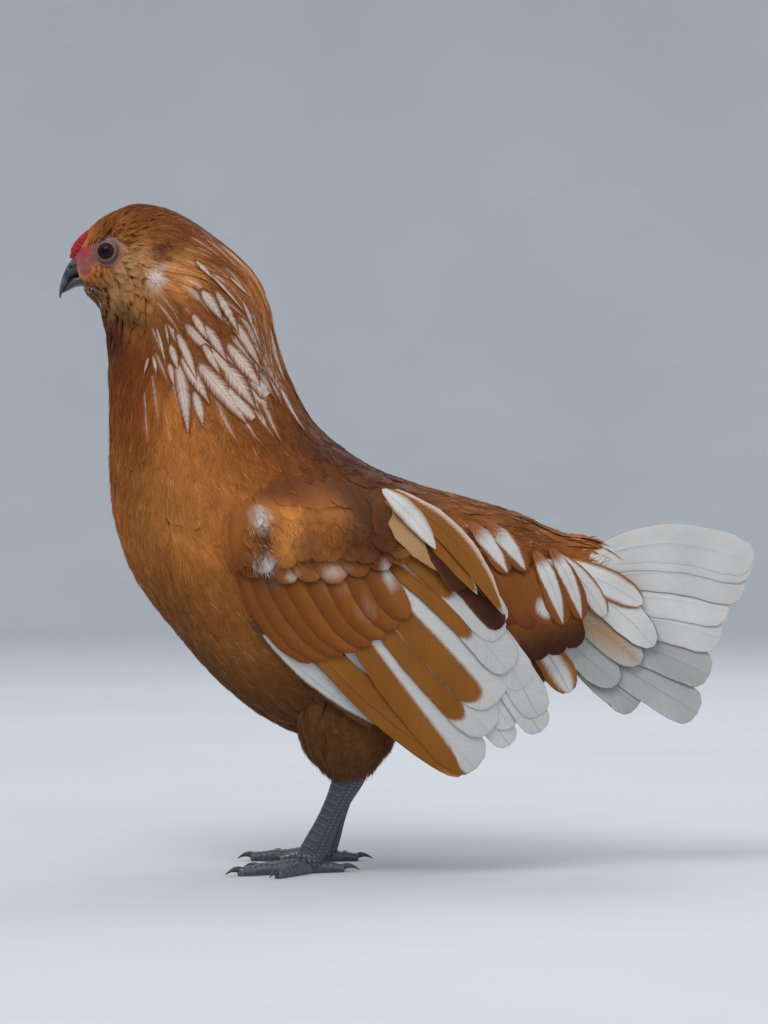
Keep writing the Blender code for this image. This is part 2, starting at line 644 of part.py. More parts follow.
# Rows of wing feathers: count, points that the roots and the tips lie along (in millimetres,
# outermost feather first), widths of the first and last, lift, sunk height, tilt and bow.
WING_ROWS = {
    "primary": (
        5, ((-56.1, 103.5), (-29.2, 106.4), (-8.0, 115.1)),
        ((-2.3, 50.2), (31.4, 47.2), (45.2, 53.5), (52.2, 63.2)),
        (10.5, 12.5), 0.5, 1.0, 0.06, -0.02,
    ),
    "secondary": (
        8, ((-53.2, 107.4), (-33.0, 110.3), (-13.8, 117.0), (-0.3, 126.6)),
        ((19.9, 39.9), (31.0, 47.8), (35.1, 68.9), (17.0, 105.5)),
        (13.0, 11.5), 2.9, 2.2, 0.11, -0.04,
    ),
    "greater_covert": (
        7, ((-59.9, 128.5), (-46.5, 128.5), (-29.2, 132.4), (-8.0, 142.0)),
        ((-53.2, 98.7), (-29.2, 84.3), (-8.0, 91.0), (7.4, 107.4)),
        (10.5, 11.5), 5.4, 2.6, 0.11, -0.03,
    ),
    "scapular": (
        3, ((-15.7, 147.8), (-12.8, 150.7), (-9.9, 153.5)),
        ((18.9, 119.9), (30.4, 113.2), (38.1, 104.5)),
        (13.0, 8.0), 7.2, 2.0, 0.08, 0.05,
    ),
}


def wing_shell(tree, x, z, side):
    """How far out the wing's inner face lies at (x, z): over the body, and bowed beyond it."""
    stations, widths = zip(*WING_WIDTH)
    width = float(np.interp(x / MM, stations, widths)) * MM
    above = z / MM - (WING_MIDDLE - WING_FALL * x / MM)
    bow = above / (WING_BOW_UP if above > 0 else WING_BOW_DOWN)
    free = width * math.sqrt(max(WING_LEAST, 1 - bow * bow))
    start = Vector((x, side * OUTSIDE, z))
    hit = tree.ray_cast(start, Vector((0, -side, 0)))
    over = abs(hit[0].y) + 2 * GAP if hit[0] is not None else 0.0
    return (free**WING_BLEND + over**WING_BLEND) ** (1 / WING_BLEND)


def arm_mesh(surface):
    """The fleshy arm: a pad that lies on the body and is thickest along its middle."""
    rings = []
    for k, (upper, lower) in enumerate(zip(spaced_rows(ARM_UPPER, ARM_ALONG), spaced_rows(ARM_LOWER, ARM_ALONG))):
        fullness = math.sqrt(math.sin(math.pi * (k + 1) / (ARM_ALONG + 1)))
        outer, inner = [], []
        for n in range(ARM_ACROSS + 1):
            x, z = (upper + (lower - upper) * (n / ARM_ACROSS)) * MM
            round_it = math.sin(math.pi * n / ARM_ACROSS) * fullness
            outer.append(surface(x, z, (ARM_EDGE + ARM_THICK * round_it) * MM))
            inner.append(surface(x, z, 0.0))
        rings.append(outer + inner[::-1])
    return loft_mesh(rings)


def along_curve(points, share):
    return Vector(spline_row(points, (len(points) - 1) * share)) * MM


def build_wing(bird, name, side, tree, forms):
    """The folded wing: the arm with tiers of flight feathers and coverts, each laid like tiles."""
    def surface(x, z, lift):
        return Vector((x, side * (wing_shell(tree, x, z, side) + lift), z))

    wing = place(name, arm_mesh(surface), "wing", bird)
    vanes = []
    for row, (count, roots, tips, widths, lift, sink, tilt, bow) in WING_ROWS.items():
        shape = FLIGHT_VANE if row in ("primary", "secondary") else COVERT_VANE
        for k in range(count):
            share = k / (count - 1)
            wobble = TIP_WOBBLE * math.sin(WOBBLE_BY_FEATHER * k + lift)
            root = along_curve(roots, share)
            tip = along_curve(tips, share) + Vector((wobble, wobble))
            width = (widths[0] + (widths[1] - widths[0]) * share) * MM
            rows = sheet_vane(surface, root, tip, width, lift * MM, sink * MM, tilt, bow, shape)
            vanes.append(place(f"{row}{k}", vane_mesh(rows, VANE_THICK), "wing", bird))
    return fuse(wing, vanes, forms)


# The rump that carries the tail, in millimetres: back x, back z, belly x, belly z, half width.
RUMP = (
    (61.9, 132.7, 58.7, 77.5, 14.4),
    (72.0, 131.0, 69.0, 83.0, 11.0),
    (84.0, 127.0, 81.0, 91.0, 7.0),
    (94.0, 120.0, 92.0, 101.0, 3.0),
)
# The tented tail: the height of its ridge along x, and how far each side falls outwards.
TAIL_RIDGE = ((60.0, 130.0), (100.0, 138.0), (140.0, 134.0))
TAIL_SLOPE, TAIL_TOP_SPREAD, TAIL_UNBEND = 0.14, 1.7, 1.3
# Rows of tail feathers on each side: count, points that the roots and the tips lie along
# (in millimetres, top feather first), widths, lift, sunk height, tilt and the top one's bow.
TAIL_ROWS = {
    "rectrix": (
        7, ((70.0, 122.0), (68.0, 108.0), (66.0, 94.0)),
        ((137.8, 122.8), (137.0, 113.0), (127.0, 100.0), (125.0, 86.0), (118.0, 70.0), (111.0, 61.0), (94.0, 65.0)),
        (15.5, 14.5), 0.0, 0.0, 0.07, 0.1,
    ),
    "tail_covert": (
        6, ((66.0, 126.0), (65.0, 108.0), (64.0, 92.0)),
        ((104.0, 130.0), (98.0, 112.0), (82.0, 99.0), (67.0, 76.0)),
        (13.5, 12.0), 1.9, -2.2, 0.07, 0.06,
    ),
}


def tail_sheet(side, over_rump):
    """The surface of one side of the tented tail, which may bend out over the rump."""
    def surface(x, z, lift):
        ridge = float(np.interp(x / MM, *zip(*TAIL_RIDGE))) * MM
        out = TAIL_TOP_SPREAD * MM + max(0.0, ridge - z) * TAIL_SLOPE
        if over_rump:
            share = np.interp(x / MM, [row[0] for row in RUMP], range(len(RUMP)))
            top, low, wide = (spline_row(RUMP, share)[k] * MM for k in (1, 3, 4))
            height = min(1.0, abs(2 * (z - low) / (top - low) - 1))
            out = (out**6 + (wide * math.sqrt(1 - height * height)) ** 6) ** (1 / 6)
        return Vector((x, side * (out + lift), z))
    return surface


def build_tail(bird, forms):
    """The rump with two sides of seven tail feathers, tented upright, and their coverts."""
    rings = [section_ring(row, RUMP_SIDES) for row in spaced_rows(RUMP, LIMB_RINGS)]
    tail = place("tail", loft_mesh(rings), "tail", bird)
    vanes = []
    for side in (LEFT, RIGHT):
        for row, (count, roots, tips, widths, lift, sink, tilt, bow) in TAIL_ROWS.items():
            surface = tail_sheet(side, row == "tail_covert")
            shape = COVERT_VANE if row == "tail_covert" else FLIGHT_VANE
            for k in range(count):
                share = k / (count - 1)
                root, tip = along_curve(roots, share), along_curve(tips, share)
                width = (widths[0] + (widths[1] - widths[0]) * share) * MM
                bend = bow * (1 - TAIL_UNBEND * share)
                rows = sheet_vane(surface, root, tip, width, lift * MM, sink * MM, tilt, bend, shape)
                vanes.append(place(f"{row}{k}{side}", vane_mesh(rows, VANE_THICK), "tail", bird))
    return fuse(tail, vanes, forms)


def main():
    for obj in list(bpy.data.objects):
        bpy.data.objects.remove(obj)
    bird = bpy.data.collections.new("antwerp_belgian_bantam")
    cutters = bpy.data.collections.new("cutters")
    for group in (bird, cutters):
        bpy.context.scene.collection.children.link(group)
    outline = loft_mesh(body_rings(0.0, NECK_CUT, TORSO_FORM_RINGS))
    tree = BVHTree.FromBMesh(outline)
    outline.free()
    torso_form = cutter("torso_form", loft_mesh(body_rings(0.0, NECK_CUT, TORSO_FORM_RINGS, GAP)), cutters)
    neck_form = cutter("neck_form", loft_mesh(body_rings(NECK_CUT, HEAD_CUT, NECK_RINGS, GAP)), cutters)
    head_form = cutter("head_form", loft_mesh(body_rings(HEAD_CUT, BILL_CUT, HEAD_RINGS, GAP)), cutters)
    build_torso(bird)
    build_neck(bird, [torso_form, head_form])
    build_head(bird, cutters, [neck_form])
    build_bill(bird, cutters)
    build_comb(bird, head_form)
    build_eyes(bird)
    for name, (side, hock, ball_of_foot, turn) in LEGS.items():
        shank_form = cutter(f"shank_form_{name}", shank_mesh(hock, ball_of_foot, GAP), cutters)
        build_thigh(bird, name, side, [torso_form, shank_form])
        place(f"shank_{name}", shank_mesh(hock, ball_of_foot), "shank", bird)
        build_foot(bird, name, side, hock, ball_of_foot, turn)
        build_wing(bird, f"wing_{name}", side, tree, [torso_form])
    build_tail(bird, [torso_form])


main()
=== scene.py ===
"""Dresses a standing Antwerp Belgian bantam hen: skin, plumage, bare parts, stage and camera.

Every feather is a closed, thin mesh. Feathers of one region are copies of one blank that is
bent to the body, a wing or the tail, and they are joined into one piece.
"""

import json
import math

import bmesh
import bpy
import numpy as np
from bpy.props import FloatProperty, FloatVectorProperty, PointerProperty
from bpy.types import Operator, Panel, PropertyGroup
from mathutils import Matrix, Vector
from mathutils.bvhtree import BVHTree

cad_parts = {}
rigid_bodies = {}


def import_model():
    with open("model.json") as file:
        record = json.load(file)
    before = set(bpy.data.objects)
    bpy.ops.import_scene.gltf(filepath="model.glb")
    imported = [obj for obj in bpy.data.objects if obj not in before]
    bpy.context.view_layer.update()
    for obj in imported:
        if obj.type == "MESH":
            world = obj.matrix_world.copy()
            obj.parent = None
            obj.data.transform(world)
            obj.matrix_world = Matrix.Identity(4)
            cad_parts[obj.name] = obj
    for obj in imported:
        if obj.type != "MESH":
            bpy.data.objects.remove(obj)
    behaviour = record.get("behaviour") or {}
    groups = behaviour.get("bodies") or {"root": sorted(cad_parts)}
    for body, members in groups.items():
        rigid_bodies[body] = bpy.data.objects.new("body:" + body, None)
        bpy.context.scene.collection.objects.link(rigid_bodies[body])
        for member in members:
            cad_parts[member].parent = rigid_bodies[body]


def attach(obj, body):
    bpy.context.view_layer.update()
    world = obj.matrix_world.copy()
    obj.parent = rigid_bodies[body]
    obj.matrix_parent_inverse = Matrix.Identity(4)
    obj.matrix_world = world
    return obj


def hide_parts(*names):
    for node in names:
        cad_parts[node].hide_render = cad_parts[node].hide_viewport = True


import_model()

bl_info = {
    "name": "Antwerp Belgian bantam hen",
    "version": (1, 0, 0),
    "blender": (4, 5, 0),
    "location": "3D View > Sidebar > Hen",
    "description": "Builds the skin, plumage and bare parts of a standing bantam hen",
    "category": "Object",
}

MM = 0.001
LEFT, RIGHT = -1, 1
SIDES = (("left", LEFT), ("right", RIGHT))
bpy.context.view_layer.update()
# The most triangles of one piece, and the angle over which a vane's rim stays sharp.
MOST_TRIANGLES = 195000
SHARP_RIM = math.radians(50)
# What a feather's vertices keep as vectors and as colours.
VANE_VALUES, VANE_TINTS = ("vane", "size", "lines"), ("ground", "marking", "line")
# The patch that a feather's copy takes on the OFBake map, across and along it.
PATCH_WIDE, PATCH_LONG = 0.0015, 0.003
# The side view that this map shows for the large feathers: its lowest x and z and its size in
# millimetres.
MAP_START, MAP_SIZE = (-90, 10), (260, 175)

# Colours a user would change: key, label, what it colours, and its screen value.
COLOURS = (
    ("breast", "Breast", "Gold of the breast", (174, 106, 46)),
    ("pale_gold", "Pale gold", "Lighter gold of the neck's side and upper breast", (190, 124, 60)),
    # Umber is partly the lower breast's own brown and partly painted shade, darker low on the breast where
    # less light falls.
    ("umber", "Umber", "Brown of the lower breast", (132, 82, 36)),
    ("russet", "Russet", "Deep red brown of shoulder and neck", (108, 52, 16)),
    ("belly", "Belly", "Brown of the belly and thighs", (98, 62, 32)),
    ("chestnut", "Chestnut", "Dark chestnut of the back", (96, 50, 20)),
    ("saddle", "Saddle", "Red brown of the saddle", (126, 72, 28)),
    # Dark also paints the shadow in and under the inner wing feathers.
    ("dark", "Dark", "Dark brown of the throat and the wing's top", (66, 34, 20)),
    ("crown", "Crown", "Gold brown of the crown", (118, 62, 22)),
    ("cheek", "Cheek", "Cream of the cheek", (176, 132, 86)),
    ("beard", "Beard", "Brown gold of beard and muffs", (88, 60, 34)),
    ("buff", "Buff", "Buff of the wing coverts", (128, 74, 26)),
    ("tan", "Tan", "Pale tan of the torn inner wing feather", (158, 122, 84)),
    ("wing_brown", "Wing brown", "Brown webs of the flight feathers", (136, 84, 30)),
    ("white", "White", "Greyish white of tail and wing", (192, 190, 186)),
    # Painted shade: a grey that stands for the shade and see-through look of the tail's lower white feathers.
    ("shade", "Shade", "Grey of the tail's lower feathers", (158, 158, 154)),
    ("streak", "Streak", "Pale centres of the hackle feathers", (198, 178, 164)),
    ("hackle_edge", "Hackle edge", "Brown edges of the hackle feathers", (116, 64, 26)),
    ("line", "Line", "Dark shafts and edge lines of the white feathers", (62, 52, 48)),
    ("face", "Face", "Pink skin of the face", (146, 76, 72)),
    ("eye_ring", "Eye ring", "Mauve grey skin round the eye", (108, 78, 72)),
    ("comb", "Comb", "Crimson of the comb", (160, 12, 30)),
    ("bill", "Bill", "Slate of the bill", (44, 44, 52)),
    ("horn", "Horn", "Pale horn of the bill's tip and edge", (120, 108, 104)),
    ("leg", "Leg", "Slate of shank and toes", (54, 58, 68)),
    # The pale scute edges are partly the scutes' own colour and partly painted highlight.
    ("scute_edge", "Scute edge", "Pale edges of the scutes", (82, 86, 94)),
    ("claw", "Claw", "Dark horn of the claws", (58, 50, 44)),
    ("iris", "Iris", "Brown of the iris", (50, 22, 12)),
)
# Sizes a user would change: key, label, what it sets, default, unit.
SIZES = (
    ("breast_feather", "Breast feather", "Length of a breast feather", 18 * MM, "LENGTH"),
    ("saddle_feather", "Saddle feather", "Length of a saddle feather", 26 * MM, "LENGTH"),
    ("hackle_feather", "Hackle feather", "Length of the longest hackle feather", 42 * MM, "LENGTH"),
    ("thigh_feather", "Thigh feather", "Length of a thigh feather", 11 * MM, "LENGTH"),
    ("vane_thickness", "Vane thickness", "Thickness of a flight feather's vane", 0.35 * MM, "LENGTH"),
    ("eye_radius", "Eye radius", "Radius of the eyeball", 4.5 * MM, "LENGTH"),
    ("camera_distance", "Camera distance", "From the camera to the hen's middle plane", 1.3, "LENGTH"),
    ("camera_height", "Camera height", "Height of the camera over the floor", 0.142, "LENGTH"),
    ("frame_height", "Frame height", "Height that the picture shows at the hen", 0.4096, "LENGTH"),
)

# Sections of rump, torso, neck and head in millimetres: back x, back z, belly x, belly z,
# half width, and how far the widest line lies below the middle. The first three are the rump.
BODY_SECTIONS = (
    (94.0, 120.0, 92.0, 101.0, 3.0, 0.0),
    (84.0, 127.0, 81.0, 91.0, 7.0, 0.0),
    (72.0, 131.0, 69.0, 83.0, 11.0, 0.01),
    (61.2, 133.2, 58.0, 77.0, 15.0, 0.02),
    (45.2, 140.8, 40.0, 67.6, 24.0, 0.03),
    (25.2, 147.0, 20.0, 59.6, 32.0, 0.04),
    (5.2, 152.6, -3.0, 53.4, 38.5, 0.05),
    (-12.8, 159.2, -26.8, 50.4, 42.0, 0.06),
    (-26.8, 168.4, -50.8, 57.6, 43.5, 0.07),
    (-36.4, 176.8, -72.8, 73.6, 43.0, 0.08),
    (-42.0, 185.2, -92.4, 95.6, 41.0, 0.07),
    (-46.0, 193.6, -108.0, 117.2, 38.0, 0.05),
    (-49.6, 202.4, -115.6, 139.2, 34.0, 0.02),
    (-52.4, 212.4, -117.6, 161.2, 30.0, 0.0),
    (-55.2, 224.4, -117.6, 183.2, 26.5, 0.0),
    (-60.4, 236.0, -118.4, 201.2, 24.0, 0.0),
    (-69.2, 245.6, -120.0, 214.0, 21.5, 0.0),
    (-80.8, 254.8, -122.0, 222.8, 19.0, 0.02),
    (-94.0, 262.4, -124.4, 226.4, 17.0, 0.04),
    (-106.8, 264.8, -126.4, 228.4, 15.0, 0.05),
    (-116.0, 262.0, -127.8, 230.0, 12.6, 0.04),
    (-123.2, 257.6, -128.6, 231.0, 9.8, 0.02),
    (-128.0, 252.0, -129.0, 231.8, 7.2, 0.0),
    (-132.4, 244.4, -129.2, 232.2, 5.2, 0.0),
)
# Places along the body, counted in sections from the tail's root.
TAIL_END, TAIL_ROOT, NECK_FOOT, BILL_ROOT = -3.0, 0.0, 9.0, 20.0
# How deep the skin lies under the coat's outline in millimetres: section, at the back, at the belly.
SKIN_DEPTH = (
    (-3.0, 1.0, 1.0), (-1.0, 3.0, 3.0), (2.0, 4.0, 5.5), (7.0, 3.5, 4.5), (10.0, 5.5, 4.0),
    (13.5, 4.5, 3.6), (15.5, 2.2, 3.6), (17.0, 1.2, 2.8), (18.4, 0.7, 1.2), (20.0, 0.15, 0.2),
)
# Thigh sections in millimetres: front x, front z, rear x, rear z, half width.
THIGH_SECTIONS = (
    (-42.0, 74.0, -2.0, 74.0, 15.0),
    (-42.6, 60.0, -3.0, 60.0, 15.0),
    (-39.6, 49.0, -6.0, 50.0, 12.8),
    (-33.4, 41.6, -11.0, 43.6, 9.2),
    (-29.2, 38.2, -14.4, 39.8, 6.4),
)
# How far a thigh's middle lies from the body's, and how deep its skin lies under the coat.
THIGH_MIDDLE, THIGH_SKIN = 22.2 * MM, 3.0 * MM

# The right eye: its centre, where it looks, and the radii of its opening, its lids and the bare skin.
EYE_CENTRE = np.array((-118.0, 10.6, 245.0)) * MM
EYE_AIM = np.array((-0.25, 1.0, 0.08)) / np.linalg.norm((-0.25, 1.0, 0.08))
EYE_OPENING, EYE_RING, BARE_RING = 3.25 * MM, 4.9 * MM, 5.9 * MM
# Colours of the iris's dark rim and of the pupil.
EYE_RIM, PUPIL = (0.012, 0.008, 0.007, 1), (0.002, 0.002, 0.002, 1)
# The folds of the lids: ring radius, then half width, half thickness and height over the eye's
# centre in millimetres.
LID_FOLDS = ((EYE_OPENING + 0.45 * MM, 0.62, 0.36, 3.0), (EYE_RING, 1.2, 0.42, 1.75))
# Round bare spots between eye, comb and gape in millimetres: x, z, reach.
BARE_SPOTS = ((-124.5, 244.5, 4.2), (-128.5, 243.5, 4.2), (-127.4, 238.8, 2.6))
# The face's redder skin by the comb and at the gape: strength, x, z, reaches and tilt.
RED_SKIN = ((0.75, -129.0, 247.0, 4.0, 5.0, 50.0), (0.7, -124.5, 236.5, 2.6, 2.2, 0.0))

# Bill sections in millimetres, base to tip: ridge x, ridge z, edge x, edge z, half width.
UPPER_BILL = (
    (-132.2, 244.2, -129.6, 236.9, 4.9),
    (-135.2, 240.4, -133.0, 235.6, 4.4),
    (-137.0, 236.8, -134.6, 233.6, 3.4),
    (-138.2, 232.6, -136.2, 231.2, 2.3),
    (-138.6, 229.8, -137.4, 229.2, 1.3),
    (-138.4, 227.6, -138.0, 227.5, 0.3),
)
LOWER_BILL = (
    (-129.8, 237.0, -128.6, 232.4, 4.2),
    (-133.2, 235.8, -131.9, 231.9, 3.6),
    (-134.9, 233.8, -133.9, 231.0, 2.7),
    (-136.3, 231.5, -135.7, 230.1, 1.6),
    (-137.1, 229.9, -136.9, 229.6, 0.4),
)
NOSTRIL = np.array((-133.9, 4.2, 239.6)) * MM
# How the bill's streaks lean, and where its edge is pale: x, z, reaches and tilt.
BILL_LEAN, BILL_EDGE = math.radians(-38), (-135.0, 232.0, 5.0, 1.6, -58.0)
# Comb sections in millimetres, front to rear, and the number and radius of its points.
COMB_SECTIONS = (
    (-134.4, 243.6, -131.4, 243.0, 1.4),
    (-133.8, 247.4, -130.0, 245.4, 3.0),
    (-131.6, 250.8, -127.8, 248.0, 3.6),
    (-128.8, 253.6, -125.6, 250.4, 3.2),
    (-126.0, 255.4, -123.8, 252.8, 1.6),
)
COMB_POINTS, COMB_POINT = 70, 0.55 * MM

# Markings of skin and coat on either side: x, z, reach along, reach across, tilt in degrees
# (all in millimetres but the tilt), colour and strength. Later ones lie over earlier ones.
MARKINGS = (
    (-90.0, 142.0, 18.0, 24.0, 0.0, "pale_gold", 0.5),
    # The umber patch is partly real brown and partly painted shade of the lower breast.
    (-88.0, 92.0, 18.0, 40.0, 40.0, "umber", 0.75),
    (-66.0, 82.0, 34.0, 24.0, -35.0, "belly", 0.45),
    (-50.0, 158.0, 26.0, 14.0, -20.0, "russet", 0.6),
    (-108.0, 190.0, 13.0, 30.0, 0.0, "russet", 0.9),
    (-92.0, 204.0, 10.0, 16.0, 0.0, "russet", 0.5),
    (-28.0, 58.0, 50.0, 28.0, 0.0, "belly", 0.95),
    (36.0, 78.0, 40.0, 26.0, 25.0, "belly", 0.85),
    (-30.0, 172.0, 34.0, 20.0, -35.0, "chestnut", 0.9),
    (-4.0, 152.0, 34.0, 14.0, -18.0, "chestnut", 0.95),
    (-16.0, 162.0, 34.0, 8.0, -24.0, "dark", 0.55),
    (36.0, 138.0, 34.0, 14.0, -14.0, "saddle", 0.9),
    (56.0, 112.0, 22.0, 30.0, -40.0, "saddle", 0.9),
    (-78.0, 215.0, 34.0, 22.0, -50.0, "hackle_edge", 0.9),
    (-66.0, 188.0, 26.0, 18.0, -45.0, "hackle_edge", 0.5),
    (-84.0, 250.0, 26.0, 12.0, -18.0, "crown", 0.9),
    (-108.0, 260.0, 20.0, 8.0, 0.0, "crown", 0.95),
    (-122.0, 252.0, 7.0, 5.0, 50.0, "crown", 0.8),
    (-107.0, 222.0, 14.0, 10.0, -10.0, "beard", 0.85),
    (-120.0, 228.0, 8.0, 7.0, -40.0, "beard", 0.7),
    (-115.0, 208.0, 6.0, 12.0, 10.0, "dark", 0.95),
    (-95.5, 244.2, 7.5, 4.2, -10.0, "dark", 1.0),
    (-109.5, 241.5, 7.0, 9.0, 20.0, "cheek", 1.0),
    (-111.0, 231.0, 8.0, 7.0, 0.0, "cheek", 0.6),
    (-88.0, 236.0, 10.0, 10.0, 0.0, "pale_gold", 0.85),
    (-100.0, 226.0, 6.0, 8.0, 0.0, "pale_gold", 0.6),
    (-98.2, 232.6, 2.9, 6.0, 8.0, "streak", 1.0),
    (-24.0, 42.0, 30.0, 14.0, 0.0, "belly", 0.9),
)
# Where the hackle's pale centres are widest: x, z, reach along, reach across, tilt, strength.
PALE_HACKLE = (
    (-66.0, 192.0, 28.0, 16.0, -50.0, 0.8),
    (-52.0, 194.0, 26.0, 9.0, -60.0, 0.8),
    (-68.0, 216.0, 20.0, 10.0, -56.0, 0.5),
    (-88.0, 196.0, 7.0, 16.0, -10.0, 0.35),
)
# The pale centres of the hackle that stand out: start x, z, tip x, z and half width in millimetres.
HACKLE_STREAKS = (
    (-89.4, 198.0, -84.8, 171.6, 2.1), (-82.6, 187.6, -78.9, 174.9, 1.6), (-89.1, 210.0, -81.3, 192.1, 1.4),
    (-87.1, 200.6, -76.4, 183.7, 1.9), (-79.6, 197.3, -61.4, 175.5, 2.6), (-71.8, 190.2, -55.3, 173.9, 2.4),
    (-70.9, 198.6, -58.5, 182.0, 2.5), (-68.9, 205.8, -55.6, 188.9, 2.0), (-61.4, 195.4, -45.8, 177.5, 2.3),
    (-83.2, 218.4, -77.6, 209.1, 1.3), (-79.6, 227.9, -71.7, 216.7, 1.7), (-74.1, 227.2, -65.0, 211.0, 1.3),
    (-67.3, 215.5, -56.6, 198.0, 1.6), (-57.0, 204.5, -47.5, 186.5, 1.5), (-51.5, 190.0, -40.0, 174.0, 1.8),
    (-76.7, 235.0, -62.4, 219.4, 0.5), (-68.9, 234.0, -61.1, 226.6, 0.5), (-64.0, 223.6, -56.5, 205.0, 0.6),
    (-92.3, 206.7, -89.3, 197.6, 1.2), (-97.8, 212.9, -94.1, 198.9, 0.5), (-94.5, 214.9, -92.9, 206.7, 0.4),
    (-99.3, 202.5, -97.7, 195.7, 0.6), (-101.2, 201.9, -102.9, 195.7, 0.5), (-92.8, 199.3, -90.4, 190.8, 1.0),
    (-78.3, 213.6, -69.9, 200.6, 1.6), (-75.7, 204.5, -65.3, 190.8, 1.5), (-82.2, 240.2, -75.7, 233.7, 0.7),
    (-79.0, 206.4, -72.5, 195.4, 1.3),
)
# How far back such a feather starts as a share of its streak, how much of its width is pale, its height
# over the neck in millimetres, and how that height grows with the height of the root over the lowest.
STREAK_BACK, STREAK_SHARE, STREAK_LIFT, STREAK_CLIMB, STREAK_LOW = 0.35, 0.72, 0.9, 0.012, 190
# The chin, where the feathers are shortest, lies in front of and below these.
CHIN_FRONT, CHIN_TOP = -121.0 * MM, 236.0 * MM
# Markings of the folded wing's small feathers, with the same values as the markings above.
WING_MARKINGS = (
    (-26.0, 112.0, 46.0, 34.0, 0.0, "buff", 0.75),
    (-62.0, 146.0, 12.0, 22.0, 0.0, "russet", 0.4),
    (-48.0, 156.0, 22.0, 12.0, -15.0, "russet", 0.8),
    (-60.1, 158.2, 9.0, 7.0, 0.0, "pale_gold", 0.7),
    (-50.0, 150.5, 14.0, 5.0, 0.0, "chestnut", 0.9),
    (-63.2, 122.0, 8.0, 6.0, -20.0, "chestnut", 0.65),
    (-45.5, 134.3, 5.0, 9.0, 5.0, "pale_gold", 0.95),
    (-13.5, 131.0, 12.0, 11.0, 0.0, "dark", 0.75),
    (-36.3, 127.0, 5.5, 10.0, 5.0, "belly", 0.65),
    (-27.0, 165.0, 22.0, 8.0, -22.0, "chestnut", 0.85),
    (-20.9, 151.0, 19.0, 8.5, -42.0, "dark", 0.85),
    (-9.0, 137.0, 10.0, 15.0, 25.0, "dark", 0.7),
    (-22.0, 128.0, 6.0, 8.0, 10.0, "chestnut", 0.5),
    (-54.6, 130.6, 2.9, 6.2, 8.0, "dark", 0.95),
    (-55.9, 139.5, 2.6, 4.6, 12.0, "white", 1.0),
    (-53.8, 121.2, 3.4, 3.6, 0.0, "white", 0.95),
    (-43.6, 117.4, 2.4, 2.2, 0.0, "streak", 0.9),
    (-28.0, 119.6, 5.5, 3.2, 20.0, "streak", 0.6),
    (-7.4, 118.0, 2.0, 5.2, 18.0, "white", 0.95),
    (-1.7, 118.0, 1.8, 3.4, 18.0, "streak", 0.85),
    (-15.5, 104.3, 2.4, 2.4, 0.0, "streak", 0.5),
)

# The folded wing in millimetres: how far out it reaches along x, how high and low it bows from its
# middle line, and that line's height at x 0 and its fall.
WING_WIDTH = ((-80.0, 36.0), (-55.0, 42.0), (-25.0, 45.0), (5.0, 42.0), (30.0, 34.0), (60.0, 25.0))
WING_BOW_UP, WING_BOW_DOWN, WING_MIDDLE, WING_FALL = 62.0, 125.0, 112.0, 0.35
# The grid step of a side sheet and the spans in x and z that the sheets of wing and neck cover.
SHEET_STEP = 1.5
WING_SPANS = ((-90.0, 66.0), (24.0, 182.0))
NECK_SPANS = ((-126.0, -30.0), (150.0, 256.0))
# The small coverts: front and rear end in x, lean, height over the wing at the edge and inside it,
# how far it takes to rise, and their lowest and highest roots.
SHOULDER_FRONT, SHOULDER_REAR, SHOULDER_LEAN = -74.0, -4.0, math.radians(60)
SHOULDER_EDGE, SHOULDER_LIFT, SHOULDER_SLOPE = -3.0, 6.6, 17.0
SHOULDER_LOW = ((-74.0, 132.0), (-64.0, 132.0), (-50.0, 133.0), (-20.0, 136.0), (-4.0, 138.0))
SHOULDER_TOP = ((-74.0, 142.0), (-58.0, 152.0), (-46.0, 156.0), (-25.0, 153.0), (-4.0, 143.0))
# The edge of what the wing hides, as x and z in millimetres.
UNDER_WING = (
    (-58.0, 148.0), (-46.0, 153.0), (-25.0, 150.0), (-4.0, 140.0), (14.0, 124.0), (30.0, 100.0),
    (38.0, 80.0), (24.0, 52.0), (0.0, 62.0), (-30.0, 84.0), (-54.0, 104.0),
)
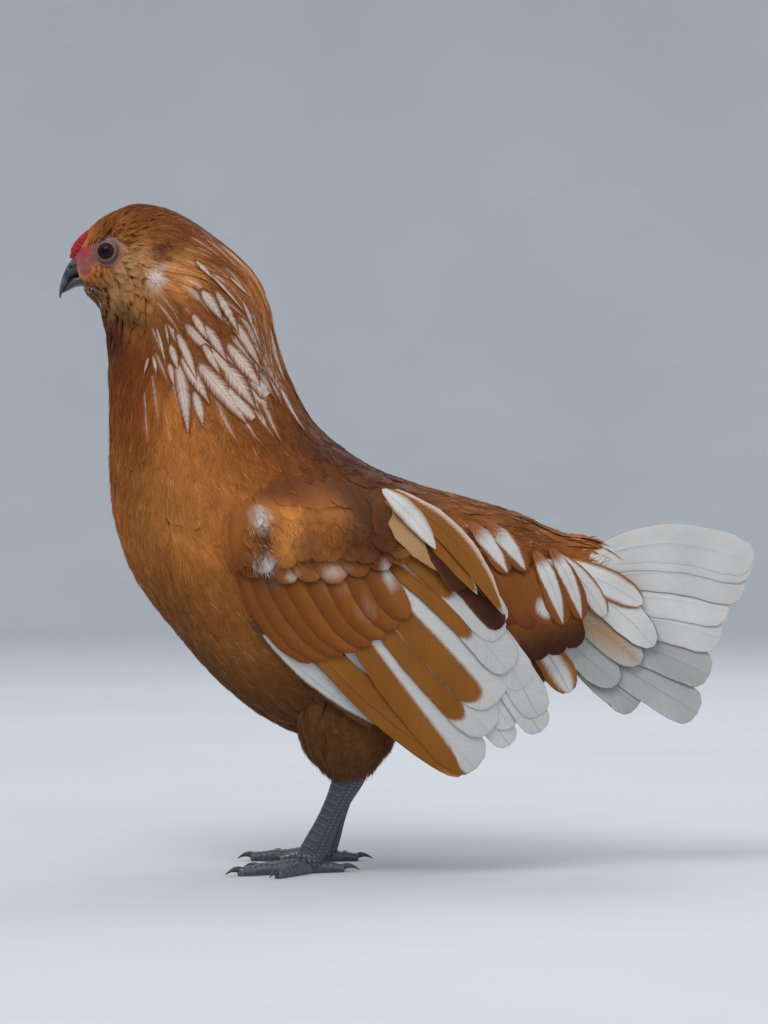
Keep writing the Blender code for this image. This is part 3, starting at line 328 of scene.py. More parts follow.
# Each wing feather: root x, z, tip x, z, outer and inner half width, lift, bow, and its look.
WING_FEATHERS = (
    (-60.9, 99.7, -12.4, 59.7, 3.4, 6.5, 0.5, -0.02, "pale_sliver"),
    (-30.0, 98.0, 24.0, 48.0, 5.0, 8.0, 0.9, -0.02, "white_vane"),
    (-2.4, 92.8, 34.5, 55.8, 5.5, 7.0, 1.1, 0.03, "dusky_vane"),
    (5.2, 92.8, 40.6, 50.8, 5.5, 6.5, 1.2, 0.02, "lined_vane"),
    (5.2, 100.5, 41.4, 57.8, 6.0, 7.0, 1.5, 0.03, "white_vane"),
    (12.9, 102.4, 52.6, 55.8, 6.0, 7.5, 1.7, 0.05, "lined_vane"),
    (14.9, 108.2, 51.8, 62.0, 6.5, 8.0, 2.0, 0.06, "lined_vane"),
    (12.9, 112.0, 46.4, 73.2, 6.5, 7.5, 2.3, 0.05, "white_vane"),
    (-42.0, 97.0, 22.6, 40.2, 5.0, 9.0, 2.7, -0.04, "brown_vane"),
    (-29.4, 113.9, 27.4, 42.0, 9.5, 11.0, 2.9, -0.02, "long_split"),
    (-23.6, 119.7, 32.9, 56.4, 8.4, 10.0, 3.1, -0.01, "split_vane"),
    (-17.8, 123.5, 35.6, 68.0, 10.6, 10.5, 3.3, 0.01, "full_split"),
    (-12.0, 126.0, 40.0, 80.0, 6.6, 9.0, 3.5, 0.06, "short_split"),
    (-12.0, 135.0, 36.5, 93.0, 6.4, 7.0, 3.7, 0.05, "small_split"),
    (-3.0, 139.0, 38.0, 99.0, 4.2, 5.0, 3.9, 0.05, "white_vane"),
    # Painted shadow: a dark vane where shade lies under the inner wing feathers.
    (-2.0, 133.0, 37.0, 97.0, 4.6, 5.0, 4.3, 0.05, "painted_shadow_vane"),
    (-64.5, 121.0, -34.5, 84.5, 6.0, 6.2, 2.0, -0.07, "buff_covert"),
    (-60.5, 123.0, -29.5, 85.0, 6.0, 6.2, 2.7, -0.07, "buff_covert"),
    (-55.5, 125.5, -24.3, 87.0, 6.0, 6.2, 3.5, -0.06, "buff_covert"),
    (-48.5, 126.0, -19.3, 88.4, 6.0, 6.2, 4.1, -0.06, "buff_covert"),
    (-40.5, 126.0, -13.8, 90.4, 6.0, 6.2, 4.5, -0.05, "buff_covert"),
    (-32.5, 127.0, -8.8, 93.4, 6.0, 6.2, 4.8, -0.05, "buff_covert"),
    (-25.0, 129.0, -3.8, 96.8, 6.0, 6.0, 5.0, -0.04, "buff_covert"),
    (-18.0, 131.0, 0.6, 101.0, 6.0, 5.6, 5.2, -0.03, "buff_covert"),
    (-66.0, 143.0, -56.3, 117.0, 6.6, 6.6, 3.4, -0.04, "field_covert"),
    (-55.1, 144.7, -43.4, 114.7, 6.8, 6.8, 4.7, -0.04, "field_covert"),
    (-44.8, 143.8, -34.6, 115.4, 6.8, 6.8, 5.2, -0.04, "field_covert"),
    (-36.4, 142.8, -25.1, 114.7, 6.6, 6.6, 5.4, -0.04, "field_covert"),
    (-27.9, 144.8, -15.9, 117.5, 6.4, 6.4, 5.5, -0.04, "field_covert"),
    (-18.8, 145.5, -7.1, 119.8, 6.2, 6.2, 5.6, -0.04, "field_covert"),
    (-11.6, 147.6, -0.6, 122.0, 6.0, 6.0, 5.7, -0.02, "field_covert"),
    # Painted shadow: a dark vane for the shaded slit between the inner feathers.
    (-1.0, 142.0, 22.0, 112.0, 5.0, 5.0, 6.6, 0.04, "painted_shadow_vane"),
    (-3.2, 144.7, 27.6, 110.0, 4.0, 4.0, 7.0, 0.05, "edged_vane"),
    (-9.0, 146.0, 21.0, 116.5, 8.6, 8.0, 6.4, 0.04, "torn_buff"),
    (-6.5, 151.0, 37.8, 102.0, 4.6, 5.2, 7.8, 0.08, "edged_vane"),
    (-9.4, 151.0, 11.5, 127.5, 3.8, 4.0, 8.6, 0.05, "white_lancet"),
)
# Looks of the large feathers: ground, marking, kind of marking, where it starts across or
# along, where its tip mark starts, strength of shaft line and edge line, and softness.
LOOKS = {
    "white_vane": ("white", "white", "plain", 0.0, 0.0, 0.2, 0.1, 0.1),
    "lined_vane": ("white", "white", "plain", 0.0, 0.0, 0.6, 0.35, 0.1),
    "dusky_vane": ("beard", "white", "web", 0.2, 0.9, 0.3, 0.1, 0.2),
    "pale_sliver": ("beard", "white", "centre", 0.8, 0.1, 0.0, 0.0, 0.2),
    "brown_vane": ("wing_brown", "pale_gold", "web", 2.0, 0.93, 0.0, 0.0, 0.3),
    "long_split": ("wing_brown", "white", "long_lobe", 0.04, 1.0, 0.0, 0.0, 0.1),
    "split_vane": ("wing_brown", "white", "lobe", 0.02, 0.87, 0.0, 0.1, 0.1),
    "full_split": ("wing_brown", "white", "lobe", 0.02, 0.93, 0.0, 0.1, 0.1),
    "short_split": ("wing_brown", "white", "lobe", 0.25, 0.72, 0.0, 0.4, 0.15),
    "small_split": ("wing_brown", "white", "lobe", 0.2, 0.62, 0.0, 0.3, 0.15),
    "buff_covert": (None, "russet", "outer", 0.5, 2.0, 0.12, 0.0, 0.9),
    "field_covert": (None, "russet", "outer", 0.85, 2.0, 0.0, 0.0, 0.5),
    "hackle_lance": ("hackle_edge", "streak", "centre", 0.62, 0.16, 0.35, 0.0, 0.5),
    # A dark vane that paints the shadow under and between the inner wing feathers.
    "painted_shadow_vane": ("dark", "chestnut", "rim", 0.8, 0.0, 0.0, 0.0, 0.3),
    "edged_vane": ("wing_brown", "streak", "inner_edge", 0.7, 0.97, 0.15, 0.0, 0.2),
    "torn_buff": ("tan", "streak", "web", 0.5, 1.2, 0.25, 0.0, 0.5),
    "white_lancet": ("white", "tan", "rim", 0.8, 0.0, 0.1, 0.0, 0.3),
    "tail_vane": ("white", "white", "plain", 0.0, 0.0, 0.12, 0.2, 0.1),
    "lined_tail": ("white", "white", "plain", 0.0, 0.0, 0.15, 0.75, 0.1),
    "brown_rim": ("white", "wing_brown", "rim", 0.78, 0.0, 0.3, 0.1, 0.15),
    "brown_ring": ("white", "wing_brown", "rim", 0.55, 0.0, 0.6, 0.1, 0.25),
    # This covert is painted grey for the shade it lies in.
    "dusky_tail": ("shade", "tan", "wedge", 1.1, 0.1, 0.1, 0.2, 0.8),
    "dark_rim": ("white", "line", "rim", 0.97, 0.0, 0.4, 0.8, 0.06),
    "white_centre": ("saddle", "white", "wedge", 1.0, 0.2, 0.2, 0.0, 0.12),
    "white_streak": ("saddle", "white", "wedge", 1.1, 0.3, 0.0, 0.0, 0.2),
    # Lower tail feathers: white feathers painted grey for the shade they lie in.
    "low_tail": ("shade", "white", "rim", 1.1, 0.0, 0.3, 0.5, 0.4),
    "dark_saddle": ("saddle", "dark", "tip", 0.62, 2.0, 0.1, 0.0, 0.9),
    "saddle_plain": ("saddle", "chestnut", "tip", 0.85, 2.0, 0.1, 0.0, 0.6),
    "white_spot": ("saddle", "white", "spot", 0.5, 0.76, 0.0, 0.0, 0.5),
}
# The tented tail in millimetres: ridge height along x, the body section under it along x, how it
# falls outwards, and its spread at the top.
TAIL_RIDGE = ((60.0, 130.0), (100.0, 138.0), (140.0, 134.0))
TAIL_BODY = ((20.0, 2.0), (40.0, 1.1), (60.0, 0.0), (70.5, -1.0), (82.5, -2.0), (93.0, -3.0))
TAIL_SLOPE, TAIL_TOP_SPREAD = 0.14, 1.7
# Tail feathers of one side, top first: root x, z, tip x, z, outer and inner half width, lift, bow, look.
TAIL_FEATHERS = (
    (70.0, 122.0, 138.4, 121.8, 8.4, 8.4, 1.5, 0.11, "tail_vane"),
    (69.0, 119.5, 138.0, 119.0, 8.4, 8.4, 1.3, 0.10, "tail_vane"),
    (68.0, 113.0, 134.8, 110.4, 8.2, 8.6, 1.1, 0.09, "lined_tail"),
    (68.0, 106.0, 128.6, 102.6, 8.2, 8.6, 0.9, 0.06, "tail_vane"),
    (67.0, 101.0, 125.4, 92.0, 8.2, 8.6, 0.7, 0.05, "tail_vane"),
    # The lowest tail feathers are painted grey for the shade they lie in.
    (66.0, 97.0, 120.6, 77.4, 8.0, 8.6, 0.5, 0.03, "low_tail"),
    (66.0, 93.0, 115.6, 62.2, 8.0, 8.6, 0.3, 0.0, "low_tail"),
    (62.0, 92.0, 92.0, 65.0, 7.0, 7.0, 0.1, -0.02, "low_tail"),
)
# Coverts of the tail and the marked saddle feathers of one side, in the same order of values.
TAIL_COVERTS = (
    # The lowest coverts are painted grey for the shade they lie in.
    (58.0, 96.0, 84.0, 74.0, 7.0, 7.0, 3.0, 0.0, "low_tail"),
    (60.0, 106.0, 93.0, 82.0, 7.0, 7.0, 3.4, 0.04, "dusky_tail"),
    (57.0, 118.0, 98.6, 88.8, 7.0, 7.4, 4.0, 0.07, "dark_rim"),
    (52.0, 122.0, 94.0, 105.5, 6.2, 6.2, 4.4, 0.06, "brown_rim"),
    (47.8, 94.8, 65.0, 70.6, 6.4, 6.6, 4.2, 0.05, "brown_ring"),
    (56.8, 126.8, 79.0, 100.4, 4.2, 4.6, 5.2, 0.06, "brown_rim"),
    (57.0, 128.0, 69.5, 99.5, 4.2, 4.4, 6.9, 0.05, "white_centre"),
    (50.5, 127.0, 62.0, 97.5, 4.6, 4.8, 7.1, 0.04, "white_centre"),
    (52.8, 112.8, 67.6, 88.4, 6.4, 6.4, 6.0, 0.05, "dark_saddle"),
    (47.8, 111.8, 60.6, 85.6, 6.4, 6.4, 6.1, 0.04, "dark_saddle"),
    (42.8, 110.8, 53.2, 83.6, 6.4, 6.4, 6.2, 0.02, "dark_saddle"),
    (37.8, 110.8, 46.2, 82.6, 6.4, 6.4, 6.3, 0.02, "saddle_plain"),
    (50.0, 122.0, 64.0, 99.0, 6.0, 6.0, 6.4, 0.04, "saddle_plain"),
    (44.0, 122.0, 57.0, 98.0, 6.0, 6.0, 6.5, 0.03, "white_spot"),
    (38.0, 122.0, 50.0, 96.0, 6.0, 6.0, 6.6, 0.03, "saddle_plain"),
    (31.0, 124.0, 43.0, 98.0, 6.0, 6.0, 6.7, 0.03, "saddle_plain"),
    (31.5, 138.0, 47.0, 119.0, 4.0, 4.2, 7.4, 0.05, "white_streak"),
    (24.5, 138.0, 39.8, 118.0, 4.0, 4.2, 7.6, 0.05, "white_streak"),
)

# Where the roots of each region start and end along the body, or along the thigh.
SPANS = {
    "breast": (4.0, 12.6), "hair": (6.0, 12.0), "belly": (-2.4, 4.0), "back": (-1.6, 10.6),
    "hackle": (9.2, 15.6), "top_hackle": (9.2, 14.6), "head": (11.6, 19.5), "thigh": (0.1, 3.3),
}
# The coat along the body: pairs of a place along it and the value there. First, where a region ends
# in degrees from the back: breast and head lie below it, back and hackle over it.
BREAST_TOP = ((0, 60), (4, 70), (7, 62), (9, 50), (10, 60), (12.6, 104))
BACK_EDGE = ((-2.5, 80), (0, 72), (4, 78), (7, 70), (10.5, 62))
HACKLE_SIDE = ((11, 124), (15.4, 98))
HEAD_FRONT = ((11.6, 112), (13.4, 95), (14.0, 0))
# How far down the body the hackle's roots reach, by their angle in degrees.
HACKLE_FOOT = ((0, 9.2), (60, 10.0), (100, 10.7), (125, 11.4))
# Gaps between roots in millimetres; the head's differ below and above the cheek.
BREAST_GAP = ((0, 4.8), (5, 4.8), (9, 4.6), (12.6, 3.6))
HACKLE_GAP = ((9.3, 4.4), (11, 4.0), (15.4, 3.0))
TOP_HACKLE_GAP = ((9.3, 6.4), (11, 6.0), (13, 5.4), (15.4, 4.6))
HEAD_LOW_GAP = ((12.2, 3.0), (15, 2.2), (17, 1.7), (19.4, 1.2))
HEAD_HIGH_GAP = ((13, 2.8), (14, 2.2), (16, 1.6), (18, 1.2), (19.4, 0.9))
# Lengths as shares of the set length, the thigh's along the thigh.
BREAST_LENGTH = ((4, 1.05), (9, 1.0), (12.6, 0.7))
BACK_LENGTH = ((-2, 0.6), (0, 0.85), (3, 1.0), (6, 0.8), (10, 0.75))
HACKLE_LENGTH = ((9.3, 0.95), (11, 1.0), (13, 0.9), (15.6, 0.5))
THIGH_LENGTH = ((0, 1.15), (2, 0.8), (3.3, 0.36))
# The head feathers' length and the hackle's width in millimetres.
HEAD_LENGTH = ((12.2, 9.5), (15, 7.0), (17, 5.0), (19.5, 2.2))
HACKLE_WIDTH = ((9.3, 7.0), (11, 6.6), (15.6, 3.6))

# How wide a feather is along its length, by its form.
OUTLINES = {
    "covert": ((0.0, 0.0), (0.05, 0.35), (0.35, 0.85), (0.7, 1.0), (0.88, 0.82), (0.97, 0.46), (1.0, 0.0)),
    "flight": (
        (0.0, 0.0), (0.03, 0.25), (0.2, 0.7), (0.5, 0.95), (0.86, 1.0), (0.95, 0.84), (0.99, 0.5), (1.0, 0.0),
    ),
    "lance": ((0.0, 0.0), (0.05, 0.4), (0.3, 0.95), (0.55, 1.0), (0.78, 0.72), (0.93, 0.32), (1.0, 0.0)),
    "barb": ((0.0, 0.0), (0.1, 1.0), (0.6, 0.8), (1.0, 0.0)),
}

# Each leg: side, hock, ball of the foot in millimetres, forward turn in degrees.
LEGS = {
    "left": (LEFT, (-21.8, -22.2, 38.6), (-38.0, -21.0, 5.2), 24.0),
    "right": (RIGHT, (-21.8, 22.2, 38.6), (-33.0, 21.5, 5.2), 4.0),
}
# The shank's radii in millimetres, hock to foot, how far it starts over the hock, and how much
# longer it is than the way from hock to ball.
SHANK_RADII = ((4.2,), (5.6,), (5.1,), (4.3,), (4.0,), (4.1,), (4.6,), (4.9,))
SHANK_ABOVE, SHANK_LONGER = 7.0 * MM, 6.0 * MM
# The pad where the toes meet: radius and height of its middle, in millimetres.
HEEL_RADIUS, HEEL_HEIGHT = 5.0, 5.2
# Each toe: angle from the foot's forward, length, root radius, scutes.
TOES = {
    "inner": (-38.0, 22.0, 3.1, 9),
    "middle": (0.0, 30.0, 3.4, 13),
    "outer": (36.0, 24.0, 3.1, 11),
    "hind": (168.0, 14.0, 2.9, 6),
}
# How much thinner a toe is at its end, as a share, and how long a claw is.
TOE_TAPER, CLAW_LENGTH = 0.42, 7.0 * MM

# The studio: radius, height of the wall and of its curved foot, and its two greys.
STUDIO_RADIUS, STUDIO_WALL, STUDIO_BEND = 3.4, 2.4, 1.0
STUDIO_GREYS = ((0.55, 0.565, 0.58, 1), (0.58, 0.595, 0.61, 1))
# The sky's colour and strength.
SKY, SKY_STRENGTH = (0.86, 0.92, 1.0, 1), 0.95
# Each round light: place, width in metres and power in watts.
LIGHTS = {
    "key": ((-0.6, -1.0, 1.6), 1.1, 14.5),
    "fill": ((0.9, -1.2, 0.7), 1.2, 4.0),
    "rim": ((0.5, 1.2, 1.3), 1.0, 8.0),
}
# Where the lights point, and how far back the camera stands along x.
LIGHT_AIM, CAMERA_X = (-0.01, 0, 0.14), -0.0086


def screen(red, green, blue):
    """A colour in linear light from its 0 to 255 screen values."""
    values = np.array((red, green, blue)) / 255
    linear = np.where(values < 0.04045, values / 12.92, ((values + 0.055) / 1.055) ** 2.4)
    return tuple(float(value) for value in linear)


def spline(rows, at):
    """Rows at fractional places, on a smooth curve through all of them."""
    rows = np.asarray(rows, float)
    at = np.asarray(at, float)
    padded = np.vstack((2 * rows[0] - rows[1], rows, 2 * rows[-1] - rows[-2]))
    i = np.clip(np.floor(at).astype(int), 0, len(rows) - 2)
    f = (at - i)[..., None]
    before, a, b, after = padded[i], padded[i + 1], padded[i + 2], padded[i + 3]
    return (
        a * (1 + f * f * (2 * f - 3))
        + b * (f * f * (3 - 2 * f))
        + (b - before) / 2 * (f * (1 - f) ** 2)
        + (after - a) / 2 * (f * f * (f - 1))
    )


def level(rows, at):
    """The value at a place, straight between the rows of a table of places and values."""
    return np.interp(at, *zip(*rows))


def bell(value, width, power=2):
    """1 where a value is 0, falling to 0 beyond a width; a higher power falls more steeply."""
    return np.exp(-((value / width) ** power))


def unit(vectors):
    return vectors / np.maximum(np.linalg.norm(vectors, axis=-1, keepdims=True), 1e-12)


def to_right(points):
    """Points mirrored to the right side, where eye and nostril are given."""
    return np.stack((points[..., 0], np.abs(points[..., 1]), points[..., 2]), -1)


def off_axis(apart, aim):
    """How far points lie from a line through the origin."""
    return np.linalg.norm(apart - np.outer(apart @ aim, aim), axis=-1)


def side_spot(x, z):
    """Where roots seen from the side lie on the OFBake map."""
    across, up = (x / MM - MAP_START[0]) / MAP_SIZE[0], (z / MM - MAP_START[1]) / MAP_SIZE[1]
    return np.stack((across, up), -1)


def patch(points, x, z, along, across, tilt):
    """How much each point lies in an oval mark seen from the side, from 0 to 1."""
    turn = math.radians(tilt)
    aside_x, aside_z = points[..., 0] / MM - x, points[..., 2] / MM - z
    run = (aside_x * math.cos(turn) + aside_z * math.sin(turn)) / along
    rise = (aside_z * math.cos(turn) - aside_x * math.sin(turn)) / across
    return np.exp(-((run * run + rise * rise) ** 1.5))


def mottle(points, size, seed):
    """A smooth, fixed unevenness over space, about -1 to 1."""
    draw = np.random.default_rng(seed)
    total = 0.0
    for _ in range(6):
        wave = draw.normal(size=3) / size
        total = total + np.sin(points @ wave + draw.uniform(0, math.tau))
    return total / 3.0


class SectionForm:
    """A closed form through sections. Angle 0 is its back or front edge, 90 its right side."""

    def __init__(self, rows, first=0.0, middle_y=0.0, lie=1.0):
        self.rows = np.array([row if len(row) == 6 else (*row, 0.0) for row in rows], float)
        self.first, self.last = first, first + len(rows) - 1.0
        self.middle_y, self.lie = middle_y, lie

    def point(self, t, angle):
        t, angle = np.broadcast_arrays(np.asarray(t, float), np.asarray(angle, float))
        row = spline(self.rows, t - self.first)
        turn = np.radians(angle)
        share = (1 - np.cos(turn)) / 2 + row[..., 5] * np.sin(turn) ** 2
        x = row[..., 0] + (row[..., 2] - row[..., 0]) * share
        z = row[..., 1] + (row[..., 3] - row[..., 1]) * share
        y = row[..., 4] * np.sin(turn)
        return np.stack((x, y, z), -1) * MM + np.array((0, self.middle_y, 0))

    def frame(self, t, angle):
        """The point with its change along and round the form, and the way out of it."""
        step, turn = 0.02, 1.0
        ahead = (self.point(t + step, angle) - self.point(t - step, angle)) / (2 * step)
        round_it = (self.point(t, angle + turn) - self.point(t, angle - turn)) / (2 * turn)
        return self.point(t, angle), ahead, round_it, -unit(np.cross(ahead, round_it))

    def walk(self, t, angle, heading, length, shares):
        """Where feathers run from their roots: along the lie, turned by their heading."""
        places, angles = [t], [angle]
        for share in np.diff(shares):
            _, ahead, round_it, _ = self.frame(places[-1], angles[-1])
            step = length * share
            forward = step * np.cos(heading) / np.linalg.norm(ahead, axis=-1)
            aside = step * np.sin(heading) / np.linalg.norm(round_it, axis=-1)
            places.append(places[-1] + self.lie * forward)
            angles.append(angles[-1] + aside)
        return np.stack(places, 1), np.stack(angles, 1)

    def unwrapped(self, t, angle):
        """Where roots lie on an unwrap of the form: its turn and its length."""
        across = 0.02 + 0.96 * ((np.asarray(angle) + 180) / 360 % 1)
        along = 0.02 + 0.96 * np.clip((np.asarray(t) - self.first) / (self.last - self.first), 0, 1)
        return np.stack((across, along), -1)


BODY = SectionForm(BODY_SECTIONS, TAIL_END, 0.0, -1.0)
THIGHS = {side: SectionForm(THIGH_SECTIONS, 0.0, side * THIGH_MIDDLE) for side in (LEFT, RIGHT)}


def skin_depth(t, angle):
    """How far the skin lies inside the coat's outline, in metres."""
    stations, back, belly = zip(*SKIN_DEPTH)
    low = (1 - np.cos(np.radians(angle))) / 2
    upper, lower = np.interp(t, stations, back), np.interp(t, stations, belly)
    return (upper + (lower - upper) * low) * MM


def plumage(points, colours, markings=MARKINGS, drift=3 * MM):
    """Colour of skin and coat at points of the body, in linear light."""
    tint = np.broadcast_to(np.array(colours.breast), points.shape).copy()
    shifted = points + drift * np.stack([mottle(points, 9 * MM, seed) for seed in (1, 2, 3)], -1)
    for x, z, along, across, tilt, key, strength in markings:
        share = (strength * patch(shifted, x, z, along, across, tilt))[..., None]
        tint += (np.array(getattr(colours, key)) - tint) * share
    return tint * (1 + 0.12 * mottle(points, 5 * MM, 7) + 0.1 * mottle(points, 13 * MM, 8))[..., None]


def bare_face(points):
    """How bare the head is: 1 on the eye ring and between eye, comb and gape, 0 where feathers grow."""
    spots = [np.linalg.norm((to_right(points) - EYE_CENTRE)[..., (0, 2)], axis=-1) / BARE_RING]
    for x, z, reach in BARE_SPOTS:
        spots.append(np.hypot(points[..., 0] / MM - x, points[..., 2] / MM - z) / reach)
    return np.clip((1.12 - np.min(spots, axis=0)) / 0.24, 0, 1)


def mapped_grid(rows, columns, bend):
    """A bmesh grid bent by bend(share along, share round), with its seam merged and its ends filled.

    Each vertex keeps its two shares in the layers along and round.
    """
    mesh = bmesh.new()
    along, around = mesh.verts.layers.float.new("along"), mesh.verts.layers.float.new("round")
    bmesh.ops.create_grid(mesh, x_segments=rows, y_segments=columns, size=0.5)
    flat = np.clip(np.array([vert.co for vert in mesh.verts]) + 0.5, 0, 1)
    bent = bend(flat[:, 0], flat[:, 1])
    for vert, share, turn, place in zip(mesh.verts, flat[:, 0], flat[:, 1], bent):
        vert.co = place
        vert[along], vert[around] = share, turn
    bmesh.ops.remove_doubles(mesh, verts=mesh.verts, dist=1e-7)
    bmesh.ops.holes_fill(mesh, edges=[edge for edge in mesh.edges if edge.is_boundary])
    bmesh.ops.recalc_face_normals(mesh, faces=mesh.faces)
    return mesh


def lofted(form, start, end, rows, columns, move=None):
    """A closed bmesh over a stretch of a form, whose points move(t, angle, point, out) may shift."""
    def bend(along, around):
        t, angle = start + (end - start) * along, 360 * around - 180
        point, _, _, out = form.frame(t, angle)
        return point if move is None else move(t, angle, point, out)
    return mapped_grid(rows, columns, bend)


def append_mesh(mesh, other):
    """Adds one bmesh to another and frees it."""
    data = bpy.data.meshes.new("passing")
    other.to_mesh(data)
    other.free()
    mesh.from_mesh(data)
    bpy.data.meshes.remove(data)


def finish_piece(name, data, material, replaced=()):
    """Puts a mesh in the scene as a piece that rides on the body."""
    data.materials.clear()
    data.materials.append(material)
    piece = bpy.data.objects.new(name, data)
    bpy.context.scene.collection.objects.link(piece)
    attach(piece, "root")
    if replaced:
        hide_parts(*replaced)
    return piece


def mesh_data(name, mesh):
    data = bpy.data.meshes.new(name)
    mesh.to_mesh(data)
    mesh.free()
    data.shade_smooth()
    return data


def vertex_places(data):
    places = np.empty(len(data.vertices) * 3, np.float32)
    data.vertices.foreach_get("co", places)
    return places.reshape(-1, 3).astype(float)


def keep_values(data, name, values):
    """Stores a number, a vector or a colour for each vertex."""
    values = np.asarray(values, np.float32)
    kind, field = "FLOAT", "value"
    if name in VANE_VALUES:
        kind, field = "FLOAT_VECTOR", "vector"
    elif name in VANE_TINTS:
        kind, field = "FLOAT_COLOR", "color"
        values = np.concatenate((values, np.ones((len(values), 1), np.float32)), 1)
    layer = data.attributes.new(name, kind, "POINT")
    layer.data.foreach_set(field, values.ravel())


class Blank:
    """A closed, flat feather to copy: its corners' places across, along and over, and its triangles."""

    def __init__(self, across, along):
        across, self.along = np.asarray(across, float), np.asarray(along, float)
        ring = [(u, 1.0) for u in across] + [(u, -1.0) for u in across[-2:0:-1]]
        ring = np.array([(u, 0.0 if abs(u) == 1 else w) for u, w in ring] + [(across[0], 0.0)])
        last = len(self.along) - 1

        def bend(run, turn):
            row = np.rint(run * last).astype(int)
            corner = ring[np.rint(turn * (len(ring) - 1)).astype(int)]
            open_row = ((row > 0) & (row < last)).astype(float)
            return np.stack((corner[:, 0] * open_row, self.along[row], corner[:, 1] * open_row * 0.5), -1)

        mesh = mapped_grid(last, len(ring) - 1, bend)
        bmesh.ops.triangulate(mesh, faces=mesh.faces)
        places = np.array([vert.co for vert in mesh.verts])
        self.faces = np.array([[vert.index for vert in face.verts] for face in mesh.faces])
        mesh.free()
        self.u, self.v, self.w = places[:, 0], places[:, 1], places[:, 2] * 2
        self.row = np.argmin(np.abs(self.v[:, None] - self.along[None]), axis=1)


SMALL = Blank((-1, 0, 1), (0, 0.05, 0.35, 0.7, 0.9, 0.975, 1))
SOFT = Blank((-1, -0.4, 0.4, 1), (0, 0.06, 0.4, 0.7, 0.86, 0.95, 0.985, 1))
BROAD = Blank((-1, -0.6, 0, 0.6, 1), (0, 0.05, 0.15, 0.3, 0.5, 0.7, 0.82, 0.9, 0.95, 0.985, 1))
MEDIUM = Blank((-1, -0.5, 0, 0.5, 1), (0, 0.04, 0.15, 0.35, 0.55, 0.75, 0.87, 0.94, 0.98, 1))
LONG = Blank((-1, -0.4, 0, 0.4, 1), (0, 0.04, 0.12, 0.22, 0.34, 0.46, 0.58, 0.7, 0.8, 0.89, 0.96, 1))
BARB = Blank((-1, 0, 1), (0, 0.3, 1))
FLIGHT = Blank(
    (-1, -0.94, -0.8, -0.6, -0.4, -0.2, -0.05, 0, 0.05, 0.2, 0.4, 0.6, 0.8, 0.94, 1),
    (*np.linspace(0, 0.9, 22), 0.92, 0.94, 0.955, 0.97, 0.98, 0.988, 0.994, 0.998, 1),
)


def mark_of(kind, u, v, start, tip):
    """Over 0 where a feather shows its marking, and under 0 where it shows its ground colour."""
    if kind in ("web", "inner_edge"):
        return np.maximum(u - start, (v - tip) * 6)
    if kind in ("lobe", "long_lobe"):
        middle, bend, taper = (-0.5, 0.05, 0.1) if kind == "lobe" else (-1.1, 0.04, 0.4)
        rounded = tip - bend * ((u - middle) / 0.5) ** 2
        return np.maximum(u - start + taper * v**3, (v - rounded) * 6)
    if kind == "outer":
        return np.maximum(-u - start, (v - 1.04) * 4)
    if kind == "tip":
        return (v - start) * 3
    if kind == "rim":
        return np.abs(u) - start
    if kind == "centre":
        open_share = np.clip((v - tip) / (1 - tip), 0, 1)
        width = start * np.maximum(np.sin(math.pi * open_share ** 0.8), 0) ** 0.9
        return np.where(v > tip, width - np.abs(u), -1.0)
    if kind == "wedge":
        return np.minimum(start * (1 - v) ** 0.7 - np.abs(u), (v - tip) * 1.2)
    if kind == "spot":
        return 1 - np.hypot(u / start, (v - tip) / 0.14)
    return -1.0 + 0 * u


def flock(blank, points, half, length, seed, ground, patch_at, marking=None, mark=None, line=None,
          lines=(0.0, 0.0, 0.3)):
    """The joined copies of one blank, with what their material reads."""
    count, corners = points.shape[:2]
    spread = (count, corners)
    faces = (blank.faces[None] + (np.arange(count) * corners)[:, None, None]).reshape(-1, 3)
    first = points[0][blank.faces] - points[0].mean(0)
    if np.einsum("ij,ij->i", first[:, 0], np.cross(first[:, 1], first[:, 2])).sum() < 0:
        faces = faces[:, ::-1]

    def each(values):
        values = np.asarray(values, float)
        values = values[:, None] if values.ndim == 2 and len(values) == count else values
        return np.broadcast_to(values, (*spread, 3)).reshape(-1, 3)

    mark = -np.ones(spread) if mark is None else mark
    within = np.stack(np.broadcast_arrays(PATCH_WIDE * blank.u, PATCH_LONG * (blank.v - 0.5)), -1)
    spot = np.asarray(patch_at)[:, None] + within[None]
    return {
        "points": points.reshape(-1, 3),
        "faces": faces,
        "vane": np.stack(np.broadcast_arrays(blank.u[None], blank.v[None], seed[:, None]), -1).reshape(-1, 3),
        "size": np.stack(np.broadcast_arrays(half / MM, (length / MM)[:, None], mark), -1).reshape(-1, 3),
        "lines": each(lines),
        "ground": each(ground),
        "marking": each(ground if marking is None else marking),
        "line": each(ground if line is None else line),
        "spot": spot.reshape(-1, 2),
    }


def join_flocks(name, flocks, material, replaced=()):
    """Pieces from many feathers, with a new piece wherever one would grow too large."""
    groups, total = [], MOST_TRIANGLES
    for part in flocks:
        total += len(part["faces"])
        if total > MOST_TRIANGLES:
            groups.append([])
            total = len(part["faces"])
        groups[-1].append(part)
    for number, group in enumerate(groups):
        piece_name = name if number == 0 else f"{name}_{number + 1}"
        join_group(piece_name, group, material, () if number else replaced)


